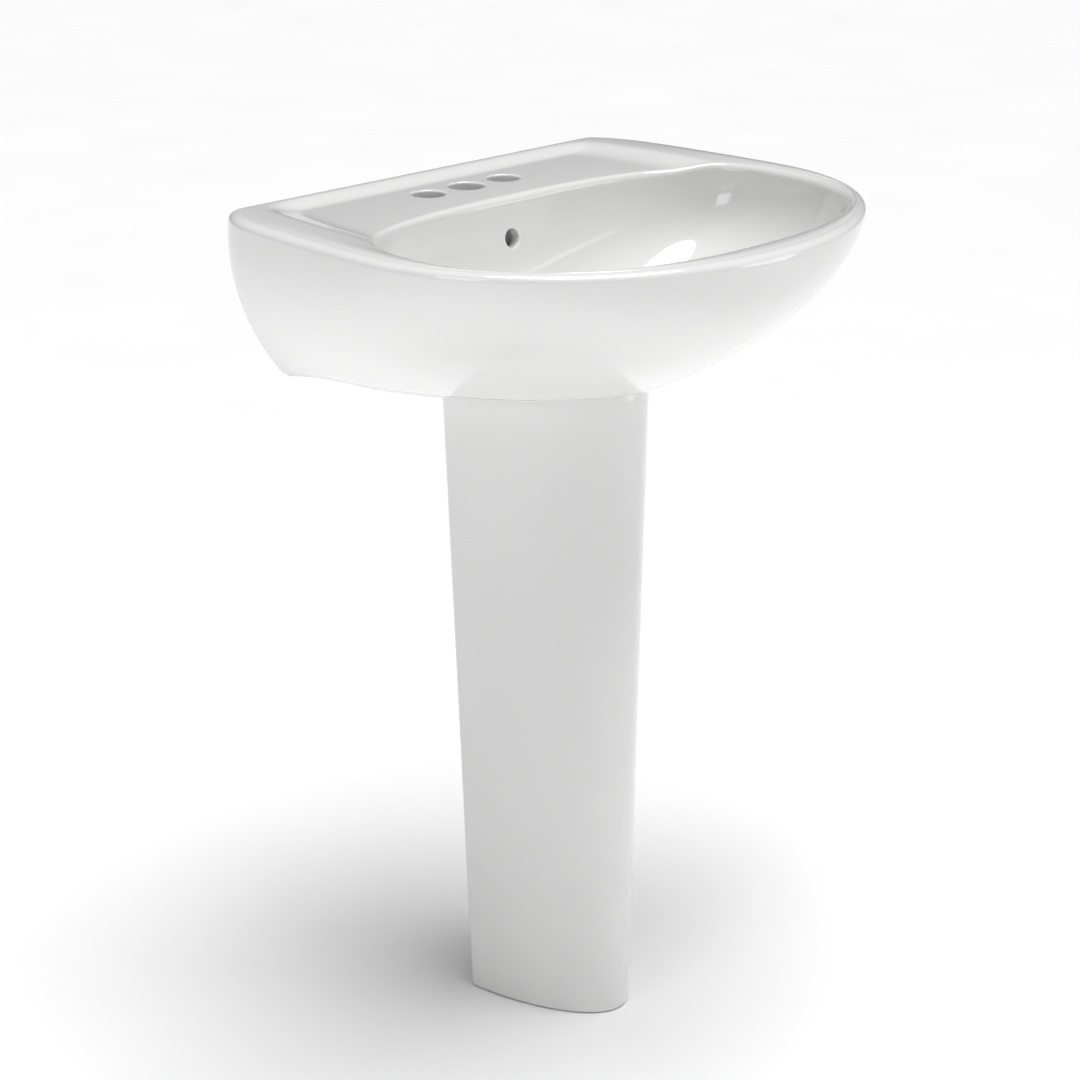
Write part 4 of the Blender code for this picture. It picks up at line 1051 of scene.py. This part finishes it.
class SINK_OT_tailpiece(bpy.types.Operator):
    """Tailpiece with its shoulder and threaded end, and the gasket between it and the drain body"""

    bl_idname = "sink.make_tailpiece"
    bl_label = "Tailpiece and its gasket"

    def execute(self, context):
        c = China()
        h = context.scene.sink_hardware
        low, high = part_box("tailpiece")
        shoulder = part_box("drain_body")[0].z - 2 * GAP - 0.002
        thread_radius = 0.0168
        bead = low.z + 0.006
        corners = [(h.tail_bore, low.z), (h.tail_radius, low.z), (h.tail_radius, bead),
                   (h.tail_radius, shoulder - 0.005), (high.x, shoulder - 0.005), (high.x, shoulder),
                   (thread_radius, shoulder), (thread_radius, high.z), (h.tail_bore, high.z)]
        profile = thread(rounded(corners, 0.0005), thread_radius, TAIL_PITCH)
        tail = spun("tailpiece_chromed", profile, c.drain, False, 72)
        wind_thread(tail, c.drain, thread_radius, shoulder + 0.0028, high.z - 0.0004, TAIL_PITCH, TAIL_GROOVE)
        place(tail, "tailpiece", "chrome")
        ring_piece("tailpiece_gasket", "tailpiece_gasket_ring", "black_rubber", thread_radius + GAP, 0.0004)
        return {'FINISHED'}


# ---- stopper ----

class SINK_OT_stopper(bpy.types.Operator):
    """Stopper: domed cap on its hub, flat seal, stem with its collar, and the cartridge it slides in"""

    bl_idname = "sink.make_stopper"
    bl_label = "Stopper and its cartridge"

    def execute(self, context):
        c = China()
        h = context.scene.sink_hardware
        low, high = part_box("stopper_cap")
        radius = high.x
        hub_low, top = low.z, high.z
        under = top - 0.0046
        bore = h.stem_radius + GAP
        dome = [(radius * math.sin(math.pi / 2 * k / 10), top - 0.0016 * (1 - math.cos(math.pi / 2 * k / 10)))
                for k in range(9, 0, -1)]
        corners = [(bore, hub_low), (HUB_RADIUS, hub_low), (HUB_RADIUS, under), (radius - 0.0004, under),
                   (radius, under + 0.0006), (radius, top - 0.0024)] + dome
        corners += [(0.0, top), (0.0, under - 0.001), (bore, under - 0.001)]
        cap = spun("stopper_cap_chromed", rounded(corners, 0.0005, 3), c.drain, False, 96)
        place(cap, "stopper_cap", "chrome", MOVING)
        low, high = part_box("stopper_seal")
        inner = HUB_RADIUS + GAP
        corners = [(inner, low.z), (high.x - 0.003, low.z), (high.x, high.z - 0.0008), (high.x, high.z),
                   (inner, high.z)]
        seal = spun("stopper_seal_ring", rounded(corners, 0.0003), c.drain)
        place(seal, "stopper_seal", "black_rubber", MOVING)
        low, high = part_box("stopper_stem")
        cartridge_low, cartridge_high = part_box("stopper_cartridge")
        collar = cartridge_high.z - 0.002 - GAP
        under_collar = collar - 0.0025
        corners = [(0.0, low.z), (h.stem_radius, low.z), (h.stem_radius, under_collar),
                   (high.x, under_collar), (high.x, collar), (h.stem_radius, collar),
                   (h.stem_radius, high.z), (0.0, high.z)]
        stem = spun("stopper_stem_brass", rounded(corners, 0.0005), c.drain, False, 48)
        place(stem, "stopper_stem", "brass", MOVING)
        chamber = 0.0051
        bottom, top = cartridge_low.z, cartridge_high.z
        corners = [(bore, bottom), (cartridge_high.x, bottom), (cartridge_high.x, top), (bore, top),
                   (bore, top - 0.002), (chamber, top - 0.002), (chamber, bottom + 0.003),
                   (bore, bottom + 0.003)]
        cartridge = spun("stopper_cartridge_nylon", rounded(corners, 0.0005), c.drain, False, 48)
        place(cartridge, "stopper_cartridge", "white_nylon")
        return {'FINISHED'}


class SINK_OT_spring(bpy.types.Operator):
    """Spring that lifts the stopper: a wire wound in a helix"""

    bl_idname = "sink.make_spring"
    bl_label = "Stopper spring"

    def execute(self, context):
        c = China()
        h = context.scene.sink_hardware
        low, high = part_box("stopper_spring")
        coil = high.x - h.wire_radius
        bpy.ops.object.select_all(action='DESELECT')
        bpy.ops.mesh.primitive_circle_add(vertices=12, radius=h.wire_radius, rotation=(math.pi / 2, 0.0, 0.0))
        spring = bpy.context.active_object
        spring.name = "stopper_spring_wire"
        bpy.ops.object.transform_apply(location=True, rotation=True, scale=True)
        for vert in spring.data.vertices:
            vert.co.x += coil
        mod = spring.modifiers.new("coil", 'SCREW')
        mod.axis = 'Z'
        mod.angle = 2 * math.pi * h.spring_turns
        mod.screw_offset = high.z - low.z - 2 * h.wire_radius
        mod.steps = 36 * h.spring_turns
        mod.render_steps = mod.steps
        apply_all(spring)
        bpy.ops.object.mode_set(mode='EDIT')
        bpy.ops.mesh.select_all(action='DESELECT')
        bpy.ops.mesh.select_non_manifold()
        bpy.ops.mesh.edge_face_add()
        bpy.ops.object.mode_set(mode='OBJECT')
        settle(spring, Vector((c.drain.x, c.drain.y, low.z + h.wire_radius)))
        tidy(spring)
        place(spring, "stopper_spring", "zinc_steel")
        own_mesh(spring)
        return {'FINISHED'}


# ---- wall fixings ----

class SINK_OT_wall_fixings(bpy.types.Operator):
    """Both wall fixings: hanger bolt, shouldered sleeve, washer and nut"""

    bl_idname = "sink.make_wall_fixings"
    bl_label = "Wall fixings"

    def execute(self, context):
        c = China()
        h = context.scene.sink_hardware
        for side in ("left", "right"):
            low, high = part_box(f"hanger_bolt_{side}")
            centre = Vector(((low.x + high.x) / 2, c.wall, (low.z + high.z) / 2))
            inside, end = c.wall - high.y, c.wall - low.y
            radius = h.bolt_radius
            corners = [(0.0, inside), (radius * 0.15, inside), (radius, inside + 0.010),
                       (radius, end - 0.001), (radius - 0.001, end), (0.0, end)]
            profile = thread(rounded(corners, 0.0004), radius, h.bolt_pitch)
            bolt = spun(f"hanger_bolt_{side}_zinc", profile, centre, True, 40)
            wind_thread(bolt, centre, radius, -0.001, end - 0.0012, h.bolt_pitch, BOLT_GROOVE, True)
            wind_thread(bolt, centre, radius, inside + 0.0105, -0.008, h.wood_pitch, WOOD_GROOVE, True)
            place(bolt, f"hanger_bolt_{side}", "zinc_steel")
            inner = radius + GAP
            low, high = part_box(f"bolt_sleeve_{side}")
            face = c.s.china + GAP
            barrel = 0.0066
            shoulder = (high.x - low.x) / 2
            corners = [(inner, c.wall - high.y), (barrel, c.wall - high.y), (barrel, face), (shoulder, face),
                       (shoulder, c.wall - low.y), (inner, c.wall - low.y)]
            ring_piece(f"bolt_sleeve_{side}", f"bolt_sleeve_{side}_nylon", "white_nylon", inner, 0.0005,
                       corners, centre, True, 48)
            ring_piece(f"bolt_washer_{side}", f"bolt_washer_{side}_zinc", "zinc_steel", inner, 0.0004,
                       None, centre, True, 56)
            nut_piece(f"bolt_nut_{side}", f"bolt_nut_{side}_zinc", "zinc_steel", 6, inner, h.bolt_pitch,
                      centre, True)
        return {'FINISHED'}


# ---- stage ----

def softbox(name, spot, target, width, height, power):
    """A soft rectangular light that faces a target."""
    light = bpy.data.lights.new(name, 'AREA')
    light.shape = 'RECTANGLE'
    light.size = width
    light.size_y = height
    light.energy = power
    obj = bpy.data.objects.new(name, light)
    bpy.context.scene.collection.objects.link(obj)
    obj.location = spot
    obj.rotation_euler = (Vector(target) - Vector(spot)).to_track_quat('-Z', 'Y').to_euler()
    return obj


def sun(name, towards, strength, spread):
    """An even soft light from a direction, as from a very large distant softbox."""
    light = bpy.data.lights.new(name, 'SUN')
    light.energy = strength
    light.angle = math.radians(spread)
    obj = bpy.data.objects.new(name, light)
    bpy.context.scene.collection.objects.link(obj)
    obj.rotation_euler = Vector(towards).to_track_quat('Z', 'Y').to_euler()
    return obj


class SINK_OT_stage(bpy.types.Operator):
    """Stage: the camera, a plain pale floor, the sky and the soft lights"""

    bl_idname = "sink.make_stage"
    bl_label = "Stage"

    def execute(self, context):
        camera_data = bpy.data.cameras.new("camera")
        camera_data.lens = 83.33
        camera_data.sensor_width = 36.0
        camera = bpy.data.objects.new("camera", camera_data)
        context.scene.collection.objects.link(camera)
        camera.location = (-1.67488, -1.59759, 1.36142)
        camera.rotation_euler = (math.radians(69.61), 0.0, math.radians(-45.52))
        context.scene.camera = camera
        context.scene.view_settings.view_transform = 'Standard'

        bpy.ops.object.select_all(action='DESELECT')
        bpy.ops.mesh.primitive_plane_add(size=24.0, location=(0.0, 0.0, -0.0005))
        floor = context.active_object
        floor.name = "studio_floor"
        bpy.ops.object.transform_apply(location=True, rotation=True, scale=True)
        colour = context.scene.sink_finishes.floor
        floor.data.materials.append(surface("look_floor", colour, 0.65, 0.0, 0.01, 3.0))

        world = bpy.data.worlds.new("studio")
        world.use_nodes = True
        sky = world.node_tree.nodes["Background"]
        sky.inputs["Color"].default_value = (1.0, 1.0, 1.0, 1.0)
        sky.inputs["Strength"].default_value = 0.12
        context.scene.world = world
        sun("overhead", (0.05, -0.15, 1.0), 3.2, 45.0)
        softbox("left", (-2.3, -0.3, 1.15), (0.0, 0.0, 0.66), 0.9, 1.1, 9.0)
        softbox("front_right", (1.45, -1.9, 0.80), (0.0, -0.05, 0.45), 0.9, 1.3, 8.0)
        return {'FINISHED'}


# ---- panel and start ----

OPERATORS = (SINK_OT_stage, SINK_OT_basin, SINK_OT_pedestal, SINK_OT_drain_body, SINK_OT_drain_clamp,
             SINK_OT_tailpiece, SINK_OT_stopper, SINK_OT_spring, SINK_OT_wall_fixings)


class SINK_PT_panel(bpy.types.Panel):
    """The sink's pieces, in the order they are made"""

    bl_idname = "SINK_PT_panel"
    bl_label = "Pedestal sink"
    bl_space_type = 'VIEW_3D'
    bl_region_type = 'UI'
    bl_category = "Sink"

    def draw(self, context):
        for operator in OPERATORS:
            self.layout.operator(operator.bl_idname)


GROUPS = {
    "sink_basin": SinkBasinSizes,
    "sink_pedestal": SinkPedestalSizes,
    "sink_hardware": SinkHardwareSizes,
    "sink_finishes": SinkFinishes,
}


def register():
    for group in GROUPS.values():
        bpy.utils.register_class(group)
    for operator in OPERATORS:
        bpy.utils.register_class(operator)
    bpy.utils.register_class(SINK_PT_panel)
    for name, group in GROUPS.items():
        setattr(bpy.types.Scene, name, PointerProperty(type=group))


def unregister():
    for name in GROUPS:
        delattr(bpy.types.Scene, name)
    bpy.utils.unregister_class(SINK_PT_panel)
    for operator in reversed(OPERATORS):
        bpy.utils.unregister_class(operator)
    for group in reversed(list(GROUPS.values())):
        bpy.utils.unregister_class(group)


def main():
    register()
    bpy.ops.sink.make_stage()
    bpy.ops.sink.make_basin()
    bpy.ops.sink.make_pedestal()
    bpy.ops.sink.make_drain_body()
    bpy.ops.sink.make_drain_clamp()
    bpy.ops.sink.make_tailpiece()
    bpy.ops.sink.make_stopper()
    bpy.ops.sink.make_spring()
    bpy.ops.sink.make_wall_fixings()


if __name__ == "__main__":
    main()
